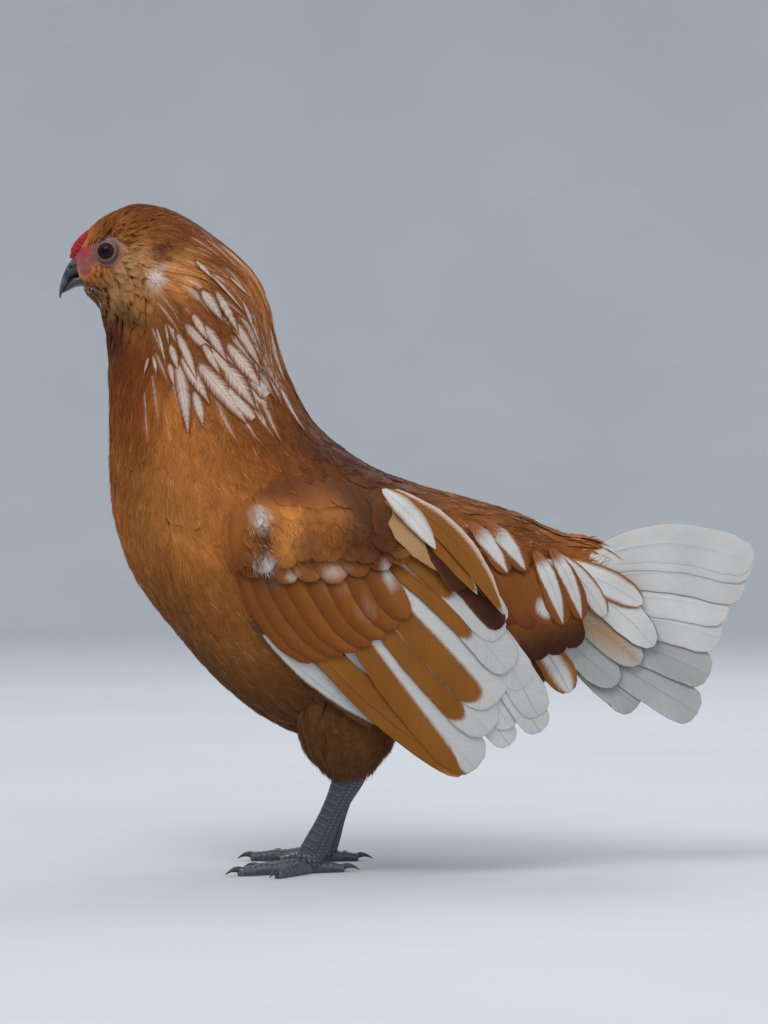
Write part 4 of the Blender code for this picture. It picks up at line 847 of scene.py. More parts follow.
def join_group(name, flocks, material, replaced):
    """One piece from some flocks."""
    starts = np.cumsum([0] + [len(part["points"]) for part in flocks])
    faces = np.concatenate([part["faces"] + start for part, start in zip(flocks, starts)])
    joined = {key: np.concatenate([part[key] for part in flocks]) for key in flocks[0] if key != "faces"}
    data = bpy.data.meshes.new(name)
    data.vertices.add(len(joined["points"]))
    data.vertices.foreach_set("co", joined["points"].astype(np.float32).ravel())
    data.loops.add(faces.size)
    data.loops.foreach_set("vertex_index", faces.astype(np.int32).ravel())
    data.polygons.add(len(faces))
    data.polygons.foreach_set("loop_start", np.arange(0, faces.size, 3, dtype=np.int32))
    data.update(calc_edges=True)
    data.shade_smooth()
    data.set_sharp_from_angle(angle=SHARP_RIM)
    for key in (*VANE_VALUES, *VANE_TINTS):
        keep_values(data, key, joined[key])
    layer = data.uv_layers.new(name="OFBake")
    layer.data.foreach_set("uv", joined["spot"][faces.ravel()].astype(np.float32).ravel())
    print(f"{name}: {len(faces)} triangles")
    finish_piece(name, data, material, replaced)


def lay_on_form(form, blank, outline, t, angle, length, width, heading, depth, lift, thick, cup, sink, climb):
    """Bends copies of a blank along a form, from roots at the skin to tips at the coat's outline.

    Returns the points, the local half widths and the frames that loose barbs start from.
    """
    ts, angles = form.walk(t, angle, heading, length, blank.along)
    here, _, _, out = form.frame(ts, angles)
    rise = -depth(ts, angles) * (1 - blank.along) ** sink + lift[:, None] * blank.along ** climb
    centre = here + out * rise[..., None]
    tangent = unit(np.gradient(centre, axis=1))
    across = unit(np.cross(tangent, out))
    up = np.cross(across, tangent)
    half_row = width[:, None] / 2 * level(OUTLINES[outline], blank.along)
    half = half_row[:, blank.row]
    sag = -cup * half * blank.u ** 2
    over = sag + blank.w * thick / 2 * (1 - 0.6 * blank.v)
    points = (
        centre[:, blank.row]
        + across[:, blank.row] * (half * blank.u)[..., None]
        + up[:, blank.row] * over[..., None]
    )
    lain = {
        "centre": centre, "across": across, "tangent": tangent, "up": up, "half": half_row, "blank": blank,
    }
    return points, half, lain


def fray(lain, per_feather, length, seed, tint_at, patch_at, spread=0.5, stand=0.13, reach_back=0.45):
    """Loose barbs over the edges and tips of laid feathers, in the colour of the vane at their roots."""
    draw = np.random.default_rng(seed)
    count = len(lain["half"])
    owner = np.repeat(np.arange(count), per_feather)
    rows = lain["blank"].along
    v = 0.985 - reach_back * draw.uniform(0, 1, len(owner)) ** 1.6
    u = draw.choice((-1.0, 1.0), len(owner)) * draw.uniform(0.02, 0.97, len(owner)) ** 0.7
    row = np.clip(np.searchsorted(rows, v), 1, len(rows) - 1)
    share = ((v - rows[row - 1]) / (rows[row] - rows[row - 1]))[:, None]

    def at(key):
        values = lain[key][owner]
        index = np.arange(len(owner))
        values = values[..., None] if values.ndim == 2 else values
        return values[index, row - 1] * (1 - share) + values[index, row] * share

    centre, across, tangent, up = (at(key) for key in ("centre", "across", "tangent", "up"))
    root = centre + across * (at("half")[:, 0] * u)[:, None] + up * (0.04 * MM)
    turn = u * spread + draw.normal(0, 0.12, len(owner))
    way = tangent * np.cos(turn)[:, None] + across * np.sin(turn)[:, None]
    side = across * np.cos(turn)[:, None] - tangent * np.sin(turn)[:, None]
    reach = length * draw.uniform(0.6, 1.3, len(owner))
    bend = draw.uniform(-0.06, stand, len(owner))
    half = 0.13 * MM * draw.uniform(0.7, 1.3, len(owner))
    wide = half[:, None] * level(OUTLINES["barb"], BARB.v)
    height = (reach * bend)[:, None] * BARB.v * (1 - 1.3 * BARB.v) + BARB.w * 0.05 * MM
    points = (
        root[:, None]
        + way[:, None] * (reach[:, None] * BARB.v)[..., None]
        + up[:, None] * height[..., None]
        + side[:, None] * (wide * BARB.u)[..., None]
    )
    tone = tint_at(owner, u, v) * draw.uniform(0.84, 1.18, (len(owner), 1))
    return flock(BARB, points, wide, reach, draw.uniform(size=len(owner)), tone, patch_at[owner])


NEAR_CELLS = [(a, b, c) for a in (-1, 0, 1) for b in (-1, 0, 1) for c in (-1, 0, 1)]


def crowded(place, key, cells, least):
    """Whether a place lies nearer to a taken one than the root of least, by the cells around it."""
    for a, b, c in NEAR_CELLS:
        for other in cells.get((key[0] + a, key[1] + b, key[2] + c), ()):
            dx, dy, dz = place[0] - other[0], place[1] - other[1], place[2] - other[2]
            if dx * dx + dy * dy + dz * dz < least:
                return True
    return False


def thinned(places, gaps, size):
    """Which places to take in their order, so that each keeps its gap to those taken before it."""
    cells, taken = {}, []
    keys = np.floor(places / size).astype(int)
    for k, (key, place) in enumerate(zip(map(tuple, keys), places)):
        if not crowded(place, key, cells, gaps[k] ** 2):
            cells.setdefault(key, []).append(tuple(place))
            taken.append(k)
    return taken


def scatter(form, start, end, spacing, seed, keep, angles=(-180.0, 180.0)):
    """Evenly spread roots over a stretch of a form, no two nearer than the local spacing."""
    draw = np.random.default_rng(seed)
    rows, columns = 160, 120
    t = start + (end - start) * (np.arange(rows) + 0.5) / rows
    angle = angles[0] + (angles[1] - angles[0]) * (np.arange(columns) + 0.5) / columns
    grid_t, grid_angle = (part.ravel() for part in np.meshgrid(t, angle, indexing="ij"))
    point, ahead, round_it, _ = form.frame(grid_t, grid_angle)
    area = np.linalg.norm(np.cross(ahead, round_it), axis=-1)
    gap = spacing(grid_t, grid_angle, point)
    weight = area / gap**2 * keep(grid_t, grid_angle, point)
    cell_area = (end - start) / rows * (angles[1] - angles[0]) / columns
    tries = int(7 * (weight * cell_area).sum())
    chosen = draw.choice(len(weight), size=tries, p=weight / weight.sum())
    many_t = grid_t[chosen] + draw.uniform(-0.5, 0.5, tries) * (end - start) / rows
    many_angle = grid_angle[chosen] + draw.uniform(-0.5, 0.5, tries) * (angles[1] - angles[0]) / columns
    places, gaps = form.point(many_t, many_angle), gap[chosen]
    taken = thinned(places, gaps, gap.max())
    return many_t[taken], many_angle[taken], places[taken]


def hidden_by_wing(points):
    """Whether points lie where the folded wing covers them, seen from the side."""
    x, z = points[..., 0] / MM, points[..., 2] / MM
    inside = np.zeros(x.shape, bool)
    for (ax, az), (bx, bz) in zip(UNDER_WING, UNDER_WING[1:] + UNDER_WING[:1]):
        crosses = (az > z) != (bz > z)
        inside ^= crosses & (x < (bx - ax) * (z - az) / (bz - az + 1e-9) + ax)
    return inside & (np.abs(points[..., 1]) > 16 * MM)


def add_node(tree, kind, inputs=(), **settings):
    """A shader node with its settings, and its inputs linked or set."""
    made = tree.nodes.new("ShaderNode" + kind)
    for key, value in settings.items():
        setattr(made, key, value)
    for key, value in dict(inputs).items():
        if isinstance(value, bpy.types.NodeSocket):
            tree.links.new(value, made.inputs[key])
        else:
            made.inputs[key].default_value = value
    return made


def calc(tree, operation, a, b=0.0, clamp=False):
    made = add_node(tree, "Math", {0: a, 1: b}, operation=operation, use_clamp=clamp)
    return made.outputs[0]


def ramp(tree, value, start, end, low=0.0, high=1.0):
    """A soft step of a value from one level to another."""
    inputs = {"Value": value, "From Min": start, "From Max": end, "To Min": low, "To Max": high}
    return add_node(tree, "MapRange", inputs, interpolation_type="SMOOTHSTEP").outputs[0]


def mix(tree, factor, a, b, way="MIX"):
    return add_node(tree, "Mix", {0: factor, 6: a, 7: b}, data_type="RGBA", blend_type=way).outputs[2]


def noise(tree, vector, scale, detail=2.0, rough=0.5):
    inputs = {"Vector": vector, "Scale": scale, "Detail": detail, "Roughness": rough}
    return add_node(tree, "TexNoise", inputs).outputs[0]


def attribute(tree, name, output="Color"):
    return add_node(tree, "Attribute", attribute_name=name).outputs[output]


def new_material(name, roughness, **values):
    """A material with its principled shader, the shader and its tree."""
    made = bpy.data.materials.new(name)
    made.use_nodes = True
    shader = made.node_tree.nodes["Principled BSDF"]
    shader.inputs["Roughness"].default_value = roughness
    for key, value in values.items():
        shader.inputs[key.replace("_", " ").title().replace("Ior", "IOR")].default_value = value
    return made, shader, made.node_tree


def centred(tree, value, strength):
    """A noise value moved around 0, as strong as given."""
    return calc(tree, "MULTIPLY", calc(tree, "SUBTRACT", value, 0.5), strength)


def object_place(tree):
    return add_node(tree, "TexCoord").outputs["Object"]


def rgba(colour, share=1.0):
    """A colour, lighter or darker by a share, with its opaque alpha."""
    return (*[share * value for value in colour], 1)


def toned(tree, colour, value):
    """A colour made lighter or darker by a value around 1."""
    return add_node(tree, "HueSaturation", {"Color": colour, "Value": value}).outputs[0]


def paint(tree, shader, colour):
    tree.links.new(colour, shader.inputs["Base Color"])


def set_scatter(shader, radius, scale):
    """How light spreads under skin."""
    shader.inputs["Subsurface Radius"].default_value = radius
    shader.inputs["Subsurface Scale"].default_value = scale


def set_bump(tree, shader, height, strength, distance):
    bump = add_node(tree, "Bump", {"Height": height, "Strength": strength, "Distance": distance})
    tree.links.new(bump.outputs[0], shader.inputs["Normal"])


def feather_material(name, unevenness, relief, roughness=0.62, gloss=0.12):
    """Barbs that run slantwise from the shaft, with the feather's marking, shaft and edge lines."""
    made, shader, tree = new_material(name, roughness, specular_ior_level=gloss)
    vane, size, lines = (
        add_node(tree, "SeparateXYZ", {0: attribute(tree, key, "Vector")}).outputs for key in VANE_VALUES
    )
    away = calc(tree, "ABSOLUTE", vane[0])
    aside = calc(tree, "MULTIPLY", away, size[0])
    run = calc(tree, "MULTIPLY", vane[1], size[1])
    barb = calc(tree, "SUBTRACT", run, calc(tree, "MULTIPLY", aside, 1.2))
    spread = add_node(tree, "CombineXYZ", {
        0: calc(tree, "MULTIPLY", barb, 2.4),
        1: calc(tree, "MULTIPLY", aside, 0.22),
        2: calc(tree, "MULTIPLY", vane[2], 173.0),
    }).outputs[0]
    fine = noise(tree, spread, 1.0, 3.0, 0.6)
    broad = noise(tree, spread, 0.23, 1.0)
    softness = lines[2]
    marked = calc(tree, "ADD", size[2], centred(tree, fine, calc(tree, "MULTIPLY", softness, 2.0)))
    share = ramp(tree, marked, calc(tree, "MULTIPLY", softness, -1.0), softness)
    colour = mix(tree, share, attribute(tree, "ground"), attribute(tree, "marking"))
    shaft_width = calc(tree, "SUBTRACT", 0.24, calc(tree, "MULTIPLY", vane[1], 0.17))
    on_shaft = ramp(tree, calc(tree, "SUBTRACT", shaft_width, aside), -0.06, 0.04)
    from_edge = calc(tree, "MULTIPLY", calc(tree, "SUBTRACT", 1.0, away), size[0])
    on_edge = ramp(tree, from_edge, 0.28, 0.1)
    shaft_line = calc(tree, "MULTIPLY", on_shaft, lines[0])
    edge_line = calc(tree, "MULTIPLY", on_edge, lines[1])
    colour = mix(tree, calc(tree, "MAXIMUM", shaft_line, edge_line), colour, attribute(tree, "line"))
    uneven = calc(tree, "ADD", calc(tree, "MULTIPLY", fine, 0.65), calc(tree, "MULTIPLY", broad, 0.35))
    value = ramp(tree, uneven, 0.32, 0.68, 1 - unevenness, 1 + unevenness)
    paint(tree, shader, toned(tree, colour, value))
    set_bump(tree, shader, fine, relief, 0.25 * MM)
    return made


def skin_material(colours):
    """Skin under the coat and the bare, finely folded face."""
    made, shader, tree = new_material("skin", 0.5, subsurface_weight=0.08)
    set_scatter(shader, (0.004, 0.0015, 0.001), 0.4)
    place = object_place(tree)
    grain = noise(tree, place, 900.0, 4.0, 0.6)
    folds = add_node(tree, "TexVoronoi", {"Vector": place, "Scale": 1100.0}).outputs["Distance"]
    value = ramp(tree, grain, 0.3, 0.7, 0.82, 1.14)
    paint(tree, shader, toned(tree, attribute(tree, "ground"), value))
    height = calc(tree, "ADD", calc(tree, "MULTIPLY", grain, 0.5), folds)
    set_bump(tree, shader, height, 0.55, 0.25 * MM)
    return made


def face_tint(points, colours):
    """Colours of the bare face: mauve ring, pink skin, redder towards comb and gape."""
    reach = np.linalg.norm(to_right(points) - EYE_CENTRE, axis=-1) / MM
    tint = np.broadcast_to(np.array(colours.face), points.shape).copy()
    ring = bell(np.maximum(reach - 4.6, 0), 1.9)[..., None]
    tint += (np.array(colours.eye_ring) - tint) * ring
    red = sum(strength * patch(points, *oval) for strength, *oval in RED_SKIN)
    tint += (np.array(colours.comb) - tint) * np.clip(red, 0, 1)[..., None]
    return tint * (1 + 0.12 * mottle(points, 1.0 * MM, 21))[..., None]


def shape_skin(t, angle, point, out):
    """Sinks the skin under the coat, seats the eyes and folds the face."""
    depth = skin_depth(t, angle)
    mirrored = to_right(point)
    beside = off_axis(mirrored - EYE_CENTRE, EYE_AIM)
    near = mirrored[:, 1] > 4 * MM
    seat = np.where(near, bell(beside, 3.6 * MM, 4), 0)
    depth = depth + 3.4 * MM * seat
    ring = np.where(near, bell(beside - 5.4 * MM, 1.5 * MM), 0)
    folds = 0.16 * MM * np.sin(beside / (0.42 * MM)) * ring
    face = bare_face(point)
    lores = 0.12 * MM * face * mottle(point, 0.5 * MM, 5)
    depth = depth - 0.55 * MM * ring - folds - lores
    return point - out * depth[:, None]


def join_thighs(skin):
    """Joins both thighs to the body's skin in one closed surface."""
    helpers = bpy.data.collections.new("thighs")
    for form in THIGHS.values():
        mesh = lofted(form, 0.0, 4.0, 24, 40, lambda t, angle, point, out: point - out * THIGH_SKIN)
        helper = bpy.data.objects.new("thigh", mesh_data("thigh", mesh))
        helpers.objects.link(helper)
    bpy.context.scene.collection.children.link(helpers)
    join = skin.modifiers.new("join", "BOOLEAN")
    join.operation, join.operand_type, join.solver = "UNION", "COLLECTION", "MANIFOLD"
    join.collection = helpers
    bpy.context.view_layer.update()
    graph = bpy.context.evaluated_depsgraph_get()
    data = bpy.data.meshes.new_from_object(skin.evaluated_get(graph))
    skin.modifiers.clear()
    skin.data = data
    for helper in list(helpers.objects):
        bpy.data.objects.remove(helper)
    bpy.data.collections.remove(helpers)
    return data


def build_skin(colours, sizes):
    """One closed skin for rump, torso, neck, head and thighs."""
    body = mesh_data("skin", lofted(BODY, TAIL_END, BILL_ROOT, 230, 128, shape_skin))
    skin = finish_piece("skin", body, skin_material(colours), (
        "head", "neck", "torso", "thigh_left", "thigh_right"))
    data = join_thighs(skin)
    points = vertex_places(data)
    face = bare_face(points)[:, None] * (points[:, :1] < -100 * MM)
    keep_values(data, "ground", plumage(points, colours) * (1 - face) + face_tint(points, colours) * face)
    data.shade_smooth()
    print("skin:", len(data.polygons), "faces")


def eye_axes(side):
    aim = EYE_AIM * (1, side, 1)
    right = unit(np.cross((0, 0, 1), aim))
    return EYE_CENTRE * (1, side, 1), aim, right, np.cross(aim, right)


def eye_material(colours):
    """A streaked brown iris with a dark rim round it and a black pupil."""
    made, shader, tree = new_material(
        "eye", 0.4, specular_ior_level=0.05, coat_weight=0.12, coat_roughness=0.03)
    reach = attribute(tree, "reach", "Fac")
    fibres = noise(tree, object_place(tree), 1600.0, 3.0, 0.7)
    iris = mix(tree, ramp(tree, fibres, 0.3, 0.7), rgba(colours.iris, 0.45), rgba(colours.iris))
    iris = mix(tree, ramp(tree, reach, 0.66, 0.8), iris, EYE_RIM)
    paint(tree, shader, mix(tree, ramp(tree, reach, 0.33, 0.37), PUPIL, iris))
    return made


def lid_material():
    """The finely grained skin of the lids."""
    made, shader, tree = new_material("lid", 0.42)
    grain = noise(tree, object_place(tree), 1500.0, 3.0)
    paint(tree, shader, toned(tree, attribute(tree, "ground"), ramp(tree, grain, 0.3, 0.7, 0.8, 1.15)))
    set_bump(tree, shader, grain, 0.5, 0.15 * MM)
    return made


def eyeball(side, radius):
    """A closed ball that bulges a little in front."""
    centre, aim, right, up = eye_axes(side)

    def bend(along, around):
        polar, turn = math.pi * along, math.tau * around
        bulge = 1 + 0.05 * bell(polar, 0.55)
        flat = np.outer(np.cos(polar) * bulge, aim)
        ring = np.outer(np.cos(turn) * np.sin(polar), right) + np.outer(np.sin(turn) * np.sin(polar), up)
        return centre + radius * (flat + ring)

    return mapped_grid(40, 48, bend)


def lid_fold(side, ring_radius, flat, thick, out):
    """One closed, wrinkled fold round an eye."""
    centre, aim, right, up = eye_axes(side)

    def bend(along, around):
        turn, section = math.tau * along, math.tau * around
        wrinkle = 1 + 0.07 * np.sin(19 * turn + 2 * np.sin(5 * turn)) + 0.05 * np.sin(31 * turn)
        droop = 1 + 0.05 * np.cos(turn) ** 2
        reach = ring_radius * droop + flat * MM * np.cos(section)
        height = out * MM + thick * MM * np.sin(section) * wrinkle - (reach - EYE_OPENING) * 0.42
        ring = np.outer(np.cos(turn), right) + np.outer(np.sin(turn), up)
        return centre + ring * reach[:, None] + np.outer(height, aim)

    return mapped_grid(96, 14, bend)


def build_eye(name, side, radius, material):
    """One eyeball, whose vertices keep how far they lie from the middle of its front."""
    centre, aim, *_ = eye_axes(side)
    data = mesh_data(f"eye_{name}", eyeball(side, radius))
    apart = vertex_places(data) - centre
    beside = off_axis(apart, aim) / radius
    keep_values(data, "reach", np.where(apart @ aim > 0, beside, 2.0))
    finish_piece(data.name, data, material, (f"eye_{name}",))


def build_lids(name, side, material, colours):
    """The folds round one eye, darkest at its opening."""
    centre, aim, *_ = eye_axes(side)
    lids = bmesh.new()
    for fold in LID_FOLDS:
        append_mesh(lids, lid_fold(side, *fold))
    bmesh.ops.recalc_face_normals(lids, faces=lids.faces)
    data = mesh_data(f"lids_{name}", lids)
    points = vertex_places(data)
    beside = off_axis(points - centre, aim)
    rim = np.clip((EYE_OPENING + 0.5 * MM - beside) / (0.5 * MM), 0, 1)[:, None]
    tint = np.array(colours.eye_ring) * (1 - 0.72 * rim) * (1 + 0.1 * mottle(points, 1.2 * MM, 3))[:, None]
    keep_values(data, "ground", tint)
    finish_piece(data.name, data, material, ())


def build_face(colours, sizes):
    """Eyeballs with iris and pupil, and lids with fine folds round them."""
    eye, lid = eye_material(colours), lid_material()
    for name, side in SIDES:
        build_eye(name, side, sizes.eye_radius, eye)
        build_lids(name, side, lid, colours)


def bill_material(colours):
    """Slate horn with fine streaks along the bill, paler at tip and edge."""
    made, shader, tree = new_material("bill", 0.34, coat_weight=0.25)
    drawn_out = {"Vector": object_place(tree), "Rotation": (0.0, BILL_LEAN, 0.0), "Scale": (90, 900, 900)}
    grain = noise(tree, add_node(tree, "Mapping", drawn_out).outputs[0], 1.6, 4.0, 0.65)
    paleness = calc(tree, "ADD", attribute(tree, "paleness", "Fac"), centred(tree, grain, 0.5), clamp=True)
    paint(tree, shader, mix(tree, paleness, rgba(colours.bill), rgba(colours.horn)))
    set_bump(tree, shader, grain, 0.25, 0.2 * MM)
    return made


def shape_upper_bill(t, angle, point, out):
    """Swells the bill's base, hollows its sides and opens the nostrils under a flap."""
    hollow = 0.35 * MM * bell(np.abs(angle) - 115, 26) * np.sin(np.clip(t / 5, 0, 1) * math.pi)
    apart = to_right(point) - NOSTRIL
    hole = bell(np.linalg.norm(apart * (0.8, 1, 1.3), axis=-1), 1.05 * MM, 4)
    flap = bell(np.linalg.norm(apart - np.array((0.2, 0, 1.0)) * MM, axis=-1), 1.1 * MM)
    cere = 0.25 * MM * bell(t, 0.7)
    return point + out * (cere + 0.3 * MM * flap - 1.5 * MM * hole - hollow)[:, None]


def build_bill(colours, sizes):
    """Upper and lower bill with nostrils, a hooked tip and pale horn at tip and edge."""
    material = bill_material(colours)
    for name, rows, shape in (("bill_upper", UPPER_BILL, shape_upper_bill), ("bill_lower", LOWER_BILL, None)):
        form = SectionForm(rows)
        data = mesh_data(name, lofted(form, 0.0, form.last, 70, 64, shape))
        points = vertex_places(data)
        tip = np.clip((-points[:, 0] / MM - 135.5) / 3.2, 0, 1)
        edge = 0.5 * patch(points, *BILL_EDGE) if name == "bill_upper" else 0.1
        keep_values(data, "paleness", np.clip(0.7 * tip**1.5 + edge, 0, 1))
        finish_piece(name, data, material, (name,))


def comb_material(colours):
    """Crimson skin, with painted shade between the comb's points and painted highlight on their tops."""
    made, shader, tree = new_material("comb", 0.5, subsurface_weight=0.15, specular_ior_level=0.2)
    set_scatter(shader, (0.004, 0.001, 0.001), 0.5)
    grain = noise(tree, object_place(tree), 1500.0, 3.0, 0.6)
    light = (*[min(1.0, 1.25 * value + 0.03) for value in colours.comb], 1)
    uneven = calc(tree, "MULTIPLY", grain, 0.35)
    raised = calc(tree, "ADD", attribute(tree, "raised", "Fac"), uneven, clamp=True)
    # Painted shade and highlight: darker crimson between the points, lighter crimson on them.
    paint(tree, shader, mix(tree, raised, rgba(colours.comb, 0.6), light))
    set_bump(tree, shader, grain, 0.5, 0.15 * MM)
    return made


def build_comb(colours, sizes):
    """A low rose comb covered with small rounded points."""
    form = SectionForm(COMB_SECTIONS)
    draw = np.random.default_rng(11)
    tops = form.point(draw.uniform(0.2, 3.8, COMB_POINTS), draw.uniform(-100, 100, COMB_POINTS))

    def bumps(points):
        gaps = np.linalg.norm(points[:, None] - tops[None], axis=-1)
        return bell(gaps.min(1), COMB_POINT)

    def shape(t, angle, point, out):
        ends = np.clip(np.minimum(t, form.last - t) / 0.5, 0, 1)
        return point + out * (0.65 * MM * bumps(point) * ends)[:, None]

    data = mesh_data("comb", lofted(form, 0.0, form.last, 90, 72, shape))
    # How raised each point is, which drives the comb's painted shade and highlight.
    keep_values(data, "raised", 0.15 + 0.7 * bumps(vertex_places(data)))
    finish_piece("comb", data, comb_material(colours), ("comb",))


def scutes(along, turn, rows):
    """Height of overlapping scutes on a leg, 0 to 1: two files in front, small scales behind."""
    file_of = np.where(np.sin(turn) > 0, 0.5, 0.0)
    step = (along * rows + file_of) % 1
    seam = np.clip(np.abs(np.sin(turn)) / 0.12, 0.35, 1)
    plate = (0.25 + 0.75 * step) * np.clip((1 - step) / 0.1, 0, 1) * seam
    small_file = turn / (math.tau / 14)
    small_step = (along * rows * 2.3 + 0.5 * (np.floor(small_file) % 2)) % 1
    round_step = small_file % 1
    dome_along, dome_round = (np.clip(4 * place * (1 - place), 0, 1) for place in (small_step, round_step))
    pebble = np.sqrt(dome_along * dome_round)
    share = np.clip((np.cos(turn) + 0.1) / 0.25, 0, 1)
    return plate * share + 0.55 * pebble * (1 - share)


def leg_material(colours):
    """Slate scales with dark grooves, and pale edges that are partly their own colour and partly painted
    highlight.
    """
    made, shader, tree = new_material("leg", 0.42, coat_weight=0.12)
    place = object_place(tree)
    grain = noise(tree, place, 700.0, 4.0, 0.6)
    fine = noise(tree, place, 2600.0, 2.0)
    raised = calc(tree, "ADD", attribute(tree, "raised", "Fac"), centred(tree, grain, 0.7))
    tint = mix(tree, ramp(tree, raised, 0.0, 0.55), rgba(colours.leg, 0.35), rgba(colours.leg))
    # Pale edges on the raised scutes: partly real, partly painted highlight.
    paint(tree, shader, mix(tree, ramp(tree, raised, 0.7, 1.1), tint, rgba(colours.scute_edge)))
    set_bump(tree, shader, calc(tree, "ADD", grain, calc(tree, "MULTIPLY", fine, 0.4)), 0.35, 0.2 * MM)
    return made


def claw_material(colours):
    """Dark horn with paler streaks."""
    made, shader, tree = new_material("claw", 0.36)
    streaks = noise(tree, object_place(tree), 1400.0, 3.0, 0.7)
    tint = mix(tree, ramp(tree, streaks, 0.35, 0.75), rgba(colours.claw), rgba(colours.claw, 1.9))
    paint(tree, shader, tint)
    set_bump(tree, shader, streaks, 0.25, 0.15 * MM)
    return made


def shank_mesh(hock, ball):
    """A shank with its scutes, from over the hock to the foot."""
    down = unit(ball - hock)
    aside = np.array((0.0, 1.0, 0.0))
    ahead = unit(np.cross(aside, down))
    ahead = -ahead if ahead[0] > 0 else ahead
    length = np.linalg.norm(ball - hock)

    def bend(along, around):
        turn = math.tau * around - math.pi
        run = -SHANK_ABOVE + (length + SHANK_LONGER) * along
        radius = spline(SHANK_RADII, along * (len(SHANK_RADII) - 1))[:, 0] * MM
        height = 0.42 * MM * scutes(along, turn, 13) * np.clip(along / 0.06, 0, 1)
        reach = radius * 0.98 + height
        front, side = 1.08 * reach * np.cos(turn), 0.9 * reach * np.sin(turn)
        return hock + np.outer(run, down) + np.outer(front, ahead) + np.outer(side, aside)

    return mapped_grid(120, 84, bend)


def heel_mesh(ball):
    """The pebbled pad where the toes meet, flat on the floor."""
    middle = np.array((ball[0], ball[1], HEEL_HEIGHT * MM))

    def bend(along, around):
        polar, turn = math.pi * along, math.tau * around
        reach = HEEL_RADIUS + 0.45 * np.abs(np.sin(9 * polar) * np.sin(7 * turn)) * np.sin(polar)
        across = 1.02 * reach * np.sin(polar) * np.cos(turn)
        aside = 0.95 * reach * np.sin(polar) * np.sin(turn)
        point = np.stack((across, aside, reach * np.cos(polar)), -1) * MM + middle
        point[:, 2] = np.maximum(point[:, 2], 0.0)
        return point

    return mapped_grid(40, 56, bend)


def toe_mesh(root, forward, beside, length, radius, rows):
    """A toe with scutes over it and pads under it, flat on the floor."""
    def bend(along, around):
        turn = math.tau * around
        size = radius * (1 - TOE_TAPER * along) * np.clip((1.02 - along) / 0.06, 0.25, 1) ** 0.5
        step = (along * rows) % 1
        top = np.clip(np.sin(turn) + 0.25, 0, 1)
        plate = (0.2 + 0.8 * step) * np.clip((1 - step) / 0.12, 0, 1)
        pad = np.clip(-np.sin(turn), 0, 1) * 0.5 * np.abs(np.sin(along * rows * 0.5 * math.pi))
        reach = size + 0.36 * MM * plate * top + 0.3 * MM * pad
        joints = (1 + np.cos(6 * math.pi * along)) / 2
        arch = 0.5 * MM * np.sin(math.pi * np.minimum(1, along * 1.1)) * joints
        lift = 0.7 * radius * (1 - TOE_TAPER * along) + arch
        point = root + np.outer(along * length, forward) + np.outer(reach * np.cos(turn), beside)
        point[:, 2] = np.maximum(lift + reach * np.sin(turn), 0.0)
        return point

    return mapped_grid(90, 32, bend)


def claw_mesh(root, forward, beside, toe_length, toe_radius):
    """A curved claw at the end of a toe, its tip on the floor."""
    def bend(along, around):
        turn = math.tau * around
        base = toe_radius * 0.58
        size = base * 0.78 * (1 - along) ** 0.75 + 0.03 * MM
        rise = 0.9 * MM + base * 0.62 + 0.8 * MM * np.sin(math.pi * along) - 1.3 * MM * along**2
        run = toe_length * 0.95 + CLAW_LENGTH * along
        point = root + np.outer(run, forward) + np.outer(0.72 * size * np.cos(turn), beside)
        point[:, 2] = np.maximum(np.maximum(rise, size) + size * np.sin(turn), 0.0)
        return point

    return mapped_grid(22, 18, bend)


def build_legs(colours, sizes):
    """Scaly shanks, feet and toes, with a curved claw on each toe."""
    scales, horn = leg_material(colours), claw_material(colours)
    for name, (side, hock, ball, forward_turn) in LEGS.items():
        hock, ball = np.array(hock) * MM, np.array(ball) * MM
        root = np.array((ball[0], ball[1], 0.0))
        leg, claws = bmesh.new(), bmesh.new()
        append_mesh(leg, shank_mesh(hock, ball))
        append_mesh(leg, heel_mesh(ball))
        for angle, length, radius, rows in TOES.values():
            heading = math.radians(forward_turn + angle) * -side
            forward = np.array((-math.cos(heading), -math.sin(heading), 0.0))
            beside = np.array((-forward[1], forward[0], 0.0))
            append_mesh(leg, toe_mesh(root, forward, beside, length * MM, radius * MM, rows))
            append_mesh(claws, claw_mesh(root, forward, beside, length * MM, radius * MM))
        data = mesh_data(f"leg_{name}", leg)
        keep_values(data, "raised", leg_relief(data))
        toes = [f"toe_{name}_{toe}" for toe in TOES]
        finish_piece(data.name, data, scales, (f"shank_{name}", f"foot_{name}", *toes))
        data = mesh_data(f"claws_{name}", claws)
        finish_piece(data.name, data, horn, [f"claw_{name}_{toe}" for toe in TOES])


def leg_relief(data):
    """How far each vertex stands over its neighbours, 0 in the grooves and 1 on the edges."""
    count = len(data.vertices)
    edges = np.empty(len(data.edges) * 2, np.int32)
    data.edges.foreach_get("vertices", edges)
    edges = edges.reshape(-1, 2)
    places = vertex_places(data)
    normals = np.empty(count * 3, np.float32)
    data.vertices.foreach_get("normal", normals)
    normals = normals.reshape(-1, 3)
    mean = places
    for _ in range(3):
        total, hits = mean.copy(), np.ones(count)
        for a, b in ((0, 1), (1, 0)):
            np.add.at(total, edges[:, a], mean[edges[:, b]])
            np.add.at(hits, edges[:, a], 1)
        mean = total / hits[:, None]
    height = np.einsum("ij,ij->i", places - mean, normals) / (0.12 * MM)
    return np.clip(0.55 + height, 0, 1.2)


